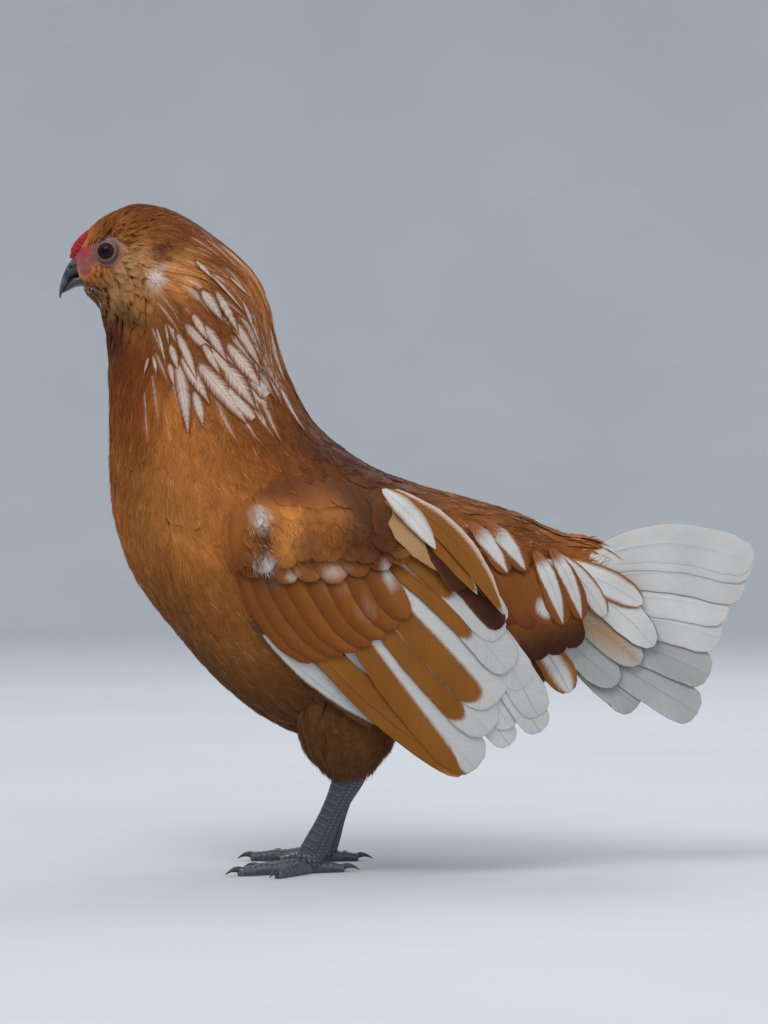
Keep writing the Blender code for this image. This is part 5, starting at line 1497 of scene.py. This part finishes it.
def coat_flock(form, blank, outline, colours, seed, roots, length, width, lift, wander=0.1, thick=0.1 * MM,
               depth=None, cup=0.03, sink=5.0, climb=1.0, flow=None, mark=None, barbs=0, barb_length=4.0 * MM,
               stand=0.13, spread=0.5, shafts=0.0, markings=MARKINGS, drift=3 * MM):
    """A region of the coat: its feathers and the loose barbs over them."""
    draw = np.random.default_rng(seed)
    t, angle, places = roots
    count = len(t)
    length = length * draw.uniform(0.9, 1.1, count)
    width = width * draw.uniform(0.9, 1.1, count)
    heading = draw.normal(0, wander, count)
    if flow is not None:
        heading = heading + flow(form, t, angle, places)
    lift = lift * draw.uniform(0.6, 1.0, count)
    points, half, lain = lay_on_form(
        form, blank, outline, t, angle, length, width, heading, depth or skin_depth, lift, thick, cup, sink,
        climb)
    tone = draw.uniform(0.93, 1.07, (count, 1))
    # Painted shade: each feather is darker towards its root, where the feathers over it shade it.
    painted_root_shade = 0.84 + 0.16 * np.clip(blank.v / 0.7, 0, 1)
    ground = plumage(points, colours, markings, drift) * (tone * painted_root_shade)[..., None]
    shown = len(blank.along) * 3 // 4
    middle = lain["centre"][:, shown]
    tint = plumage(middle, colours, markings, drift) * tone
    marked = mark(middle, draw) if mark else (tint, "plain", 0 * length, 0.0, 0.3)
    marking, kind, start, open_at, softness = marked
    marks = mark_of(kind, blank.u, blank.v, start[:, None], open_at)

    def tint_at(owner, u, v):
        share = np.clip(mark_of(kind, u, v, start[owner], open_at) / softness + 0.5, 0, 1)[:, None]
        return tint[owner] * (1 - share) + marking[owner] * share

    line = tint + (np.array(colours.streak) - tint) * 0.5
    shaft = np.where(draw.uniform(size=count) < shafts, 0.85, 0.06)
    lines = np.stack((shaft, np.zeros(count), np.full(count, softness)), -1)
    spots = form.unwrapped(t, angle)
    seeds = draw.uniform(size=count)
    made = [flock(blank, points, half, length, seeds, ground, spots, marking, marks, line, lines)]
    rounds = math.ceil(count * barbs * len(BARB.faces) / MOST_TRIANGLES)
    for number in range(rounds):
        loose = fray(lain, barbs // rounds, barb_length, seed + 500 + number, tint_at, spots, spread, stand)
        made.append(loose)
    return made


def steady(value):
    """The same value at every root, such as a gap or a depth."""
    return lambda t, *_: np.full(np.shape(t), value)


def graded(rows):
    """Gaps that change along the body, from a table in millimetres."""
    return lambda t, angle, points: level(rows, t) * MM


def build_breast(colours, sizes):
    """Breast, belly and flank feathers, soft at their tips, with fine pale hairs over the breast."""
    material = feather_material("breast_feather", unevenness=0.14, relief=0.3)

    def keep(t, angle, points):
        return ((np.abs(angle) > level(BREAST_TOP, t)) & ~hidden_by_wing(points)).astype(float)

    def pale_hair(middle, draw):
        return np.array(colours.cheek) + 0 * middle, "rim", np.full(len(middle), -2.0), 0.0, 0.3

    roots = scatter(BODY, *SPANS["breast"], graded(BREAST_GAP), 31, keep)
    length = sizes.breast_feather * level(BREAST_LENGTH, roots[0])
    front = coat_flock(BODY, SOFT, "covert", colours, 32, roots, length, width=length * 0.6,
                       lift=0.35 * MM, barbs=56, barb_length=5.0 * MM, shafts=0.05)
    roots = scatter(BODY, *SPANS["hair"], steady(10.0 * MM), 35, keep)
    front += coat_flock(BODY, BARB, "barb", colours, 36, roots, length=11.0 * MM,
                        width=0.5 * MM, lift=1.1 * MM, wander=0.3, depth=steady(0.3 * MM), mark=pale_hair)
    join_flocks("breast_feathers", front, material)

    roots = scatter(BODY, *SPANS["belly"], steady(5.2 * MM), 33, keep)
    rear = coat_flock(BODY, SOFT, "covert", colours, 34, roots, sizes.breast_feather,
                      width=10.0 * MM, lift=0.6 * MM, wander=0.22, sink=3.5, barbs=44, barb_length=6.0 * MM,
                      stand=0.3)
    join_flocks("belly_feathers", rear, material)


def build_back(colours, sizes):
    """Back and saddle feathers, longer towards the tail."""
    material = feather_material("back_feather", unevenness=0.14, relief=0.3)

    def keep(t, angle, points):
        return ((np.abs(angle) < level(BACK_EDGE, t)) & ~hidden_by_wing(points)).astype(float)

    def mark(middle, draw):
        pale = np.where(draw.uniform(size=len(middle)) < 0.2, draw.uniform(0.2, 0.4, len(middle)), -1.0)
        pale = np.where(middle[:, 0] > 22 * MM, pale, -1.0)
        return np.array(colours.streak) + 0 * middle, "centre", pale, 0.3, 0.25

    roots = scatter(BODY, *SPANS["back"], steady(5.2 * MM), 41, keep)
    length = sizes.saddle_feather * level(BACK_LENGTH, roots[0])
    back = coat_flock(BODY, MEDIUM, "covert", colours, 42, roots, length, width=9.5 * MM, lift=0.35 * MM,
                      mark=mark, barbs=40)
    join_flocks("back_feathers", back, material)


def sweep_back(form, t, angle, places):
    """Turns the hackle of the neck's sides back towards the shoulders."""
    side = bell(np.abs(angle) - 78, 34)
    return -np.sign(angle) * 0.5 * side * np.clip((t - 9) / 2, 0, 1)


def streak_feather(start_x, start_z, tip_x, tip_z, half):
    """The row of a hackle feather, from the place of its pale centre."""
    root_x = start_x - STREAK_BACK * (tip_x - start_x)
    root_z = start_z - STREAK_BACK * (tip_z - start_z)
    wide, lift = half / STREAK_SHARE, STREAK_LIFT + STREAK_CLIMB * max(0.0, root_z - STREAK_LOW)
    return root_x, root_z, tip_x, tip_z, wide, wide, lift, 0.02, "hackle_lance"


def build_hackle(colours, sizes):
    """Long, pointed hackle feathers with pale centres, from nape to shoulders."""
    material = feather_material("hackle_feather", unevenness=0.14, relief=0.35, roughness=0.5)

    def keep(t, angle, points):
        turn = np.abs(angle)
        return ((t > level(HACKLE_FOOT, turn)) & (turn < level(HACKLE_SIDE, t))).astype(float)

    def mark(middle, draw):
        pale = sum(strength * patch(middle, *oval) for *oval, strength in PALE_HACKLE)
        width = 0.8 * np.clip(pale, 0, 1) * draw.uniform(0.5, 1.1, len(middle))
        width = np.where(draw.uniform(size=len(middle)) < 0.2, 0.06, width)
        return np.array(colours.streak) * draw.uniform(0.6, 0.9, (len(middle), 1)), "centre", width, 0.3, 0.3

    def size_of(t, angle):
        side = np.clip(np.abs(angle) / 110, 0, 1)
        length = level(HACKLE_LENGTH, t) * (1 - 0.3 * side**2)
        return sizes.hackle_feather * length, level(HACKLE_WIDTH, t) * MM

    roots = scatter(BODY, *SPANS["hackle"], graded(HACKLE_GAP), 51, keep)
    length, width = size_of(*roots[:2])
    under = coat_flock(BODY, LONG, "lance", colours, 52, roots, length * 0.8, width, lift=0.4 * MM,
                       wander=0.07, cup=0.04, flow=sweep_back, barbs=20)
    roots = scatter(BODY, *SPANS["top_hackle"], graded(TOP_HACKLE_GAP), 55, keep)
    length, width = size_of(*roots[:2])
    over = coat_flock(BODY, LONG, "lance", colours, 56, roots, length * 1.05, width * 0.95, lift=0.9 * MM,
                      wander=0.09, cup=0.05, depth=steady(2.5 * MM), sink=7.0, climb=0.5, flow=sweep_back,
                      mark=mark, barbs=44, barb_length=5.0 * MM, spread=0.2, shafts=0.15)
    sheet = SideSheet(NECK_FOOT - 1, BILL_ROOT - 1, NECK_SPANS, lambda x, z, body: body)
    rows = [streak_feather(*row) for row in HACKLE_STREAKS]
    for side in (LEFT, RIGHT):
        over += lay_on_sheet(sheet.out, side, LONG, "lance", rows, colours, thick=0.12 * MM, seed=57,
                             sink=-0.8, tilt=0.03)
    join_flocks("hackle", under + over, material, ())


def around_eye(form, t, angle, points):
    """Turns head feathers so that they part round the eye and lie back and down."""
    here, ahead, round_it, _ = form.frame(t, angle)
    lie, beside = unit(form.lie * ahead), unit(round_it)
    centre = np.where(here[:, 1:2] > 0, EYE_CENTRE, EYE_CENTRE * (1, -1, 1))
    apart = here - centre
    reach = np.linalg.norm(apart[:, (0, 2)], axis=-1)
    pull = bell(reach, 8.5 * MM)[:, None] * (np.abs(here[:, 1:2]) > 4 * MM)
    way = lie + 1.6 * pull * unit(apart) + np.array((0, 0, -0.3)) * (here[:, 2:] < 250 * MM)
    return np.arctan2(np.einsum("ij,ij->i", way, beside), np.einsum("ij,ij->i", way, lie))


def build_head(colours, sizes):
    """Small feathers of crown, cheeks, ear, muffs and beard, smallest by the bill."""
    material = feather_material("head_feather", unevenness=0.16, relief=0.3)

    def keep(t, angle, points):
        open_skin = (bare_face(points) < 0.4) & ~((points[:, 0] < -127.5 * MM) & (np.abs(angle) < 150))
        return (open_skin & (np.abs(angle) > level(HEAD_FRONT, t))).astype(float)

    def spacing(t, angle, points):
        low = level(HEAD_LOW_GAP, t) * np.where(np.abs(angle) > 140, 0.7, 1.0)
        return np.where(np.abs(angle) > 100, low, level(HEAD_HIGH_GAP, t)) * MM

    roots = scatter(BODY, *SPANS["head"], spacing, 61, keep)
    t, angle, places = roots
    low = np.clip((np.abs(angle) - 85) / 40, 0, 1)
    length = (level(HEAD_LENGTH, t) * (1 + 0.3 * low)) * MM
    near_eye = np.linalg.norm(places * (1, 0, 1) - EYE_CENTRE * (1, 0, 1), axis=-1)
    length = length * np.clip(near_eye / (11 * MM), 0.5, 1)
    chin = np.where((places[:, 0] < CHIN_FRONT) & (places[:, 2] < CHIN_TOP), 0.5, 1.0)
    length = length * chin
    lift = (0.2 + 0.5 * low * np.clip((t - 14) / 2, 0, 1)) * MM * chin**3
    head = coat_flock(BODY, SMALL, "lance", colours, 62, roots, length, width=length * 0.42, lift=lift,
                      wander=0.16, flow=around_eye, sink=3.2, barbs=20, barb_length=2.2 * MM)
    join_flocks("head_feathers", head, material)


def build_thighs(colours, sizes):
    """Downy feathers of the thighs, down to the hock."""
    material = feather_material("thigh_feather", unevenness=0.16, relief=0.3)
    made = []
    for side, form in THIGHS.items():
        roots = scatter(form, *SPANS["thigh"], steady(2.8 * MM), 71 + side, steady(1.0))
        length = sizes.thigh_feather * level(THIGH_LENGTH, roots[0])
        made += coat_flock(form, SMALL, "covert", colours, 73 + side, roots, length, width=5.0 * MM,
                           lift=0.6 * MM, wander=0.2, depth=steady(THIGH_SKIN), sink=2.4, barbs=22, stand=0.3)
    join_flocks("thigh_feathers", made, material)


class SideSheet:
    """How far out a surface lies at each x and z, kept on a fine grid.

    It is worked out by reach_at(x, z, body) from x and z in millimetres and the body's reach in metres.
    """

    def __init__(self, start, end, spans, reach_at):
        outline = lofted(BODY, start, end, 60, 72)
        tree = BVHTree.FromBMesh(outline)
        outline.free()
        self.x, self.z = (np.arange(*span, SHEET_STEP) * MM for span in spans)
        self.reach = np.zeros((len(self.x), len(self.z)))
        for i, x in enumerate(self.x):
            for k, z in enumerate(self.z):
                hit = tree.ray_cast(Vector((x, 0.2, z)), Vector((0, -1, 0)))[0]
                self.reach[i, k] = reach_at(x / MM, z / MM, 0.0 if hit is None else hit.y)

    def out(self, x, z):
        i = np.clip((x - self.x[0]) / (SHEET_STEP * MM), 0, len(self.x) - 1.001)
        k = np.clip((z - self.z[0]) / (SHEET_STEP * MM), 0, len(self.z) - 1.001)
        a, b = i.astype(int), k.astype(int)
        f, g = i - a, k - b
        return (self.reach[a, b] * (1 - f) * (1 - g) + self.reach[a + 1, b] * f * (1 - g)
                + self.reach[a, b + 1] * (1 - f) * g + self.reach[a + 1, b + 1] * f * g)


def folded_wing(x, z, body):
    """How far out the folded wing's inner face lies: bowed from top to foot, and outside the body."""
    above = z - (WING_MIDDLE - WING_FALL * x)
    bow = above / (WING_BOW_UP if above > 0 else WING_BOW_DOWN)
    free = float(level(WING_WIDTH, x)) * MM * math.sqrt(max(0.05, 1 - bow * bow))
    over = body + 0.6 * MM if body > 0 else 0.0
    return (free**8 + over**8) ** (1 / 8)


class ShoulderForm:
    """The upper wing as a form to lay small feathers on, by x and z in metres instead of t and angle."""

    first, last = SHOULDER_FRONT * MM, SHOULDER_REAR * MM

    def __init__(self, sheet, side):
        self.sheet, self.side = sheet, side

    def point(self, x, z):
        x, z = np.broadcast_arrays(np.asarray(x, float), np.asarray(z, float))
        below = level(SHOULDER_TOP, x / MM) - z / MM
        behind = x / MM - SHOULDER_FRONT
        inside = np.clip(behind / SHOULDER_SLOPE, 0, 1) * np.clip(below / SHOULDER_SLOPE, 0, 1)
        raised = (SHOULDER_EDGE + (SHOULDER_LIFT - SHOULDER_EDGE) * inside * inside * (3 - 2 * inside)) * MM
        y = self.sheet.out(x.ravel(), z.ravel()).reshape(x.shape) + raised
        return np.stack((x, self.side * y, z), -1)

    def frame(self, x, z):
        step = 1.5 * MM
        ahead = (self.point(x + step, z) - self.point(x - step, z)) / (2 * step)
        up = (self.point(x, z + step) - self.point(x, z - step)) / (2 * step)
        return self.point(x, z), ahead, up, -self.side * unit(np.cross(ahead, up))

    def walk(self, x, z, heading, length, shares):
        lean = SHOULDER_LEAN + heading
        run = length[:, None] * np.asarray(shares)
        return x[:, None] + run * np.cos(lean)[:, None], z[:, None] - run * np.sin(lean)[:, None]

    def unwrapped(self, x, z):
        return side_spot(x, z)


def build_shoulder(sheet, side, colours):
    """The soft small coverts over the upper wing."""
    form = ShoulderForm(sheet, side)

    def keep(x, z, points):
        low, high = (level(rows, x / MM) for rows in (SHOULDER_LOW, SHOULDER_TOP))
        return ((z / MM > low) & (z / MM < high + 3)).astype(float)

    roots = scatter(form, form.first, form.last, steady(4.2 * MM), 87, keep, (128.0 * MM, 172.0 * MM))
    return coat_flock(form, SOFT, "covert", colours, 88, roots, length=15.0 * MM, width=10.0 * MM,
                      lift=0.4 * MM, wander=0.14, depth=steady(2.5 * MM), barbs=26, barb_length=3.0 * MM,
                      spread=0.3, markings=WING_MARKINGS, drift=1 * MM)


def tail_out(x, z):
    """How far out one side of the tented tail lies, bent out over the rump."""
    ridge = level(TAIL_RIDGE, x / MM) * MM
    out = TAIL_TOP_SPREAD * MM + np.maximum(0, ridge - z) * TAIL_SLOPE
    row = spline(BODY.rows, level(TAIL_BODY, x / MM) - BODY.first) * MM
    height = np.minimum(1, np.abs(2 * (z - row[..., 3]) / (row[..., 1] - row[..., 3]) - 1))
    body = row[..., 4] * np.sqrt(1 - height**2)
    return (out**6 + body**6) ** (1 / 6)


def bend_to_sheet(out_at, side, blank, outline, numbers, draw, thick, sink, tilt, slope):
    """One feather of a table as a blank bent to a surface: its points, half widths, root and length."""
    u, v, w = blank.u, blank.v, blank.w
    root, tip = np.array(numbers[0:2]) * MM, np.array(numbers[2:4]) * MM
    outer, inner, lift = (number * MM for number in numbers[4:7])
    bow = numbers[7]
    run = tip - root
    length = np.linalg.norm(run)
    across = np.array((-run[1], run[0])) / length
    across = -across if across[1] < 0 else across
    curve = bow * length * np.sin(math.pi * v)
    turned = unit(across[None] - (bow * math.pi * np.cos(math.pi * v))[:, None] * run[None] / length)
    notch = 1 + 0.012 * np.sin(v * length / (1.7 * MM) + draw.uniform(0, 6)) * np.abs(u) ** 4
    split = 0.1 * bell(v - draw.uniform(0.5, 0.95), 0.012) * (np.abs(u) > 0.75) * draw.uniform(0, 1)
    half = np.where(u < 0, outer, inner) * level(OUTLINES[outline], v)
    aside = u * half * (notch - split)
    spot = root[None] + run[None] * v[:, None] + across[None] * curve[:, None] + turned * aside[:, None]
    rise = 1 - (1 - np.clip(v / 0.35, 0, 1)) ** 2
    shaft = bell(u, 0.045) * 0.3 * MM * (1 - 0.75 * v) * (len(blank.along) > 12)
    camber = 0.05 * half * (1 - u**2)
    top = lift - slope * (1 - v)
    height = (sink * MM + (top - sink * MM) * rise - tilt * aside * np.clip(v / 0.2, 0, 1) + camber
              + w * (thick * 0.5 * (1 - 0.5 * v) + shaft))
    y = out_at(spot[:, 0], spot[:, 1]) + height
    points = np.stack((spot[:, 0], side * y, spot[:, 1]), -1)
    return points[None], half[None], root, np.array([length])


def lay_on_sheet(out_at, side, blank, outline, rows, colours, thick, seed, sink=0.3, tilt=0.09, slope=0.0):
    """Large feathers on a wing, neck or tail surface: each row of the table is one feather."""
    draw = np.random.default_rng(seed)
    # Painted shade: each feather is darker towards its root, where the feathers over it shade it.
    painted_root_shade = (0.88 + 0.12 * np.clip(blank.v / 0.7, 0, 1))[None, :, None]
    line = np.array(colours.line)[None]
    made = []
    for *numbers, look in rows:
        points, half, root, length = bend_to_sheet(
            out_at, side, blank, outline, numbers, draw, thick, sink, tilt, slope)
        ground_key, mark_key, kind, start, tip_share, shaft_line, edge_line, softness = LOOKS[look]
        tone = draw.uniform(0.94, 1.06)
        if ground_key:
            unevenness = 1 + 0.08 * mottle(points, 7 * MM, 17)
            ground = np.array(getattr(colours, ground_key)) * unevenness[..., None]
        else:
            ground = plumage(points, colours, WING_MARKINGS, 0.7 * MM) * painted_root_shade
        marking = np.array(getattr(colours, mark_key))[None]
        mark = mark_of(kind, blank.u, blank.v, start, tip_share)[None]
        made.append(flock(
            blank, points, half, length, draw.uniform(size=1), ground * tone, side_spot(*root)[None],
            marking * tone, mark, line, (shaft_line, edge_line, softness)))
    return made


def build_wings(colours, sizes):
    """Both folded wings: flight feathers, tiers of coverts and the long inner feathers."""
    material = feather_material("wing_feather", unevenness=0.06, relief=0.12)
    sheet = SideSheet(TAIL_ROOT, NECK_FOOT, WING_SPANS, folded_wing)
    coverts = [row for row in WING_FEATHERS if row[8] in ("field_covert", "buff_covert")]
    pointed = [row for row in WING_FEATHERS if row[8] in ("edged_vane", "torn_buff", "white_lancet")]
    flights = [row for row in WING_FEATHERS if row not in coverts and row not in pointed]
    vane = sizes.vane_thickness
    for name, side in SIDES:
        made = lay_on_sheet(sheet.out, side, FLIGHT, "flight", flights, colours, thick=vane, seed=81)
        made += lay_on_sheet(sheet.out, side, FLIGHT, "lance", pointed, colours, thick=vane, seed=82)
        made += lay_on_sheet(sheet.out, side, BROAD, "covert", coverts, colours, thick=vane * 0.6, seed=83,
                             sink=1.0, tilt=0.06, slope=1.2 * MM)
        made += build_shoulder(sheet, side, colours)
        join_flocks(f"wing_{name}_feathers", made, material, (f"wing_{name}",))


def build_tail(colours, sizes):
    """The tented fan of tail feathers, with coverts and marked saddle feathers over its root."""
    material = feather_material("tail_feather", unevenness=0.04, relief=0.12)
    vane = sizes.vane_thickness
    for name, side in SIDES:
        fan = lay_on_sheet(tail_out, side, FLIGHT, "flight", TAIL_FEATHERS, colours, thick=vane, seed=91,
                           sink=0.0, tilt=0.07)
        over = lay_on_sheet(tail_out, side, FLIGHT, "covert", TAIL_COVERTS, colours, thick=vane, seed=93,
                            sink=0.5, tilt=0.08)
        replaced = ("tail",) if side == LEFT else ()
        join_flocks(f"tail_{name}_feathers", fan + over, material, replaced)


def studio_material():
    """A pale grey that hardly changes over floor and wall."""
    made, shader, tree = new_material("studio", 0.95, specular_ior_level=0.0)
    grain = noise(tree, object_place(tree), 3.0, 3.0)
    paint(tree, shader, mix(tree, ramp(tree, grain, 0.3, 0.7), *STUDIO_GREYS))
    return made


def studio_mesh():
    """A round floor in a wall with a curved foot, open above."""
    mesh = bmesh.new()
    bmesh.ops.create_cone(mesh, cap_ends=True, segments=128, radius1=STUDIO_RADIUS, radius2=STUDIO_RADIUS,
                          depth=STUDIO_WALL, matrix=Matrix.Translation((0, 0, STUDIO_WALL / 2)))
    top = [face for face in mesh.faces if face.calc_center_median().z > STUDIO_WALL - 0.1]
    bmesh.ops.delete(mesh, geom=top, context="FACES_ONLY")
    foot = [edge for edge in mesh.edges if all(vert.co.z < 0.001 for vert in edge.verts)]
    bmesh.ops.bevel(mesh, geom=foot, offset=STUDIO_BEND, offset_type="OFFSET", segments=16, profile=0.5,
                    affect="EDGES", material=-1)
    bmesh.ops.reverse_faces(mesh, faces=mesh.faces)
    return mesh_data("studio", mesh)


def set_lights(scene):
    """Soft, round lights and a pale sky."""
    for name, (place, size, power) in LIGHTS.items():
        lamp = bpy.data.lights.new(name, "AREA")
        lamp.shape, lamp.size, lamp.energy = "DISK", size, power
        light = bpy.data.objects.new(name, lamp)
        light.location = place
        light.rotation_euler = (Vector(LIGHT_AIM) - Vector(place)).to_track_quat("-Z", "Y").to_euler()
        scene.collection.objects.link(light)
    scene.world = bpy.data.worlds.new("studio")
    scene.world.use_nodes = True
    sky = scene.world.node_tree.nodes["Background"].inputs
    sky[0].default_value, sky[1].default_value = SKY, SKY_STRENGTH


def set_camera(scene, sizes):
    """A level camera, square to the hen's left side."""
    lens = bpy.data.cameras.new("camera")
    lens.lens = lens.sensor_width * sizes.camera_distance / sizes.frame_height
    camera = bpy.data.objects.new("camera", lens)
    camera.location = (CAMERA_X, -sizes.camera_distance, sizes.camera_height)
    camera.rotation_euler = (math.radians(90), 0, 0)
    scene.collection.objects.link(camera)
    scene.camera = camera


def build_stage(colours, sizes):
    """A pale, round studio, soft light from above, and the camera."""
    scene = bpy.context.scene
    studio = bpy.data.objects.new("studio", studio_mesh())
    studio.data.materials.append(studio_material())
    scene.collection.objects.link(studio)
    scene.view_settings.view_transform = "Standard"
    set_lights(scene)
    set_camera(scene, sizes)


class HEN_PG_colours(PropertyGroup):
    """Colours of the plumage and the bare parts."""

    __annotations__ = {
        key: FloatVectorProperty(name=label, description=told, subtype="COLOR", size=3, min=0.0, max=1.0,
                                 default=screen(*value))
        for key, label, told, value in COLOURS
    }


class HEN_PG_sizes(PropertyGroup):
    """Sizes of feathers and eyes, and the place of the camera."""

    __annotations__ = {
        key: FloatProperty(name=label, description=told, default=value, min=0.0, unit=kind, precision=5)
        for key, label, told, value, kind in SIZES
    }


class PieceOperator:
    """What each piece's operator does: build it from the scene's colours and sizes."""

    def execute(self, context):
        self.build(context.scene.hen_colours, context.scene.hen_sizes)
        return {"FINISHED"}


class HEN_OT_stage(PieceOperator, Operator):
    """Set up floor, light and camera"""
    bl_idname = "hen.stage"
    bl_label = "Stage"
    build = staticmethod(build_stage)


class HEN_OT_skin(PieceOperator, Operator):
    """Shape the skin under the plumage"""
    bl_idname = "hen.skin"
    bl_label = "Skin"
    build = staticmethod(build_skin)


class HEN_OT_face(PieceOperator, Operator):
    """Set the eyes and their lids"""
    bl_idname = "hen.face"
    bl_label = "Eyes and lids"
    build = staticmethod(build_face)


class HEN_OT_bill(PieceOperator, Operator):
    """Shape the bill with its nostrils"""
    bl_idname = "hen.bill"
    bl_label = "Bill"
    build = staticmethod(build_bill)


class HEN_OT_comb(PieceOperator, Operator):
    """Shape the rose comb"""
    bl_idname = "hen.comb"
    bl_label = "Comb"
    build = staticmethod(build_comb)


class HEN_OT_legs(PieceOperator, Operator):
    """Shape shanks, feet and claws"""
    bl_idname = "hen.legs"
    bl_label = "Legs"
    build = staticmethod(build_legs)


class HEN_OT_breast(PieceOperator, Operator):
    """Lay the feathers of breast and belly"""
    bl_idname = "hen.breast"
    bl_label = "Breast and belly"
    build = staticmethod(build_breast)


class HEN_OT_back(PieceOperator, Operator):
    """Lay the feathers of back and saddle"""
    bl_idname = "hen.back"
    bl_label = "Back and saddle"
    build = staticmethod(build_back)


class HEN_OT_hackle(PieceOperator, Operator):
    """Lay the hackle from nape to shoulders"""
    bl_idname = "hen.hackle"
    bl_label = "Hackle"
    build = staticmethod(build_hackle)


class HEN_OT_head(PieceOperator, Operator):
    """Lay the small feathers of the head"""
    bl_idname = "hen.head"
    bl_label = "Head feathers"
    build = staticmethod(build_head)


class HEN_OT_thighs(PieceOperator, Operator):
    """Lay the downy feathers of the thighs"""
    bl_idname = "hen.thighs"
    bl_label = "Thighs"
    build = staticmethod(build_thighs)


class HEN_OT_wings(PieceOperator, Operator):
    """Lay the feathers of both folded wings"""
    bl_idname = "hen.wings"
    bl_label = "Wings"
    build = staticmethod(build_wings)


class HEN_OT_tail(PieceOperator, Operator):
    """Lay the tail feathers and their coverts"""
    bl_idname = "hen.tail"
    bl_label = "Tail"
    build = staticmethod(build_tail)


PIECES = (
    HEN_OT_stage, HEN_OT_skin, HEN_OT_face, HEN_OT_bill, HEN_OT_comb, HEN_OT_legs, HEN_OT_breast,
    HEN_OT_back, HEN_OT_hackle, HEN_OT_head, HEN_OT_thighs, HEN_OT_wings, HEN_OT_tail,
)


class HEN_PT_panel(Panel):
    """Lists the hen's pieces, colours and sizes"""
    bl_idname = "HEN_PT_panel"
    bl_label = "Bantam hen"
    bl_space_type = "VIEW_3D"
    bl_region_type = "UI"
    bl_category = "Hen"

    def draw(self, context):
        for piece in PIECES:
            self.layout.operator(piece.bl_idname)
        for group, table in ((context.scene.hen_colours, COLOURS), (context.scene.hen_sizes, SIZES)):
            box = self.layout.box()
            for key, *_ in table:
                box.prop(group, key)


def register():
    for made in (HEN_PG_colours, HEN_PG_sizes, *PIECES, HEN_PT_panel):
        bpy.utils.register_class(made)
    bpy.types.Scene.hen_colours = PointerProperty(type=HEN_PG_colours)
    bpy.types.Scene.hen_sizes = PointerProperty(type=HEN_PG_sizes)


def unregister():
    del bpy.types.Scene.hen_sizes
    del bpy.types.Scene.hen_colours
    for made in reversed((HEN_PG_colours, HEN_PG_sizes, *PIECES, HEN_PT_panel)):
        bpy.utils.unregister_class(made)


def main():
    register()
    for piece in PIECES:
        group, name = piece.bl_idname.split(".")
        getattr(getattr(bpy.ops, group), name)()


if __name__ == "__main__":
    main()
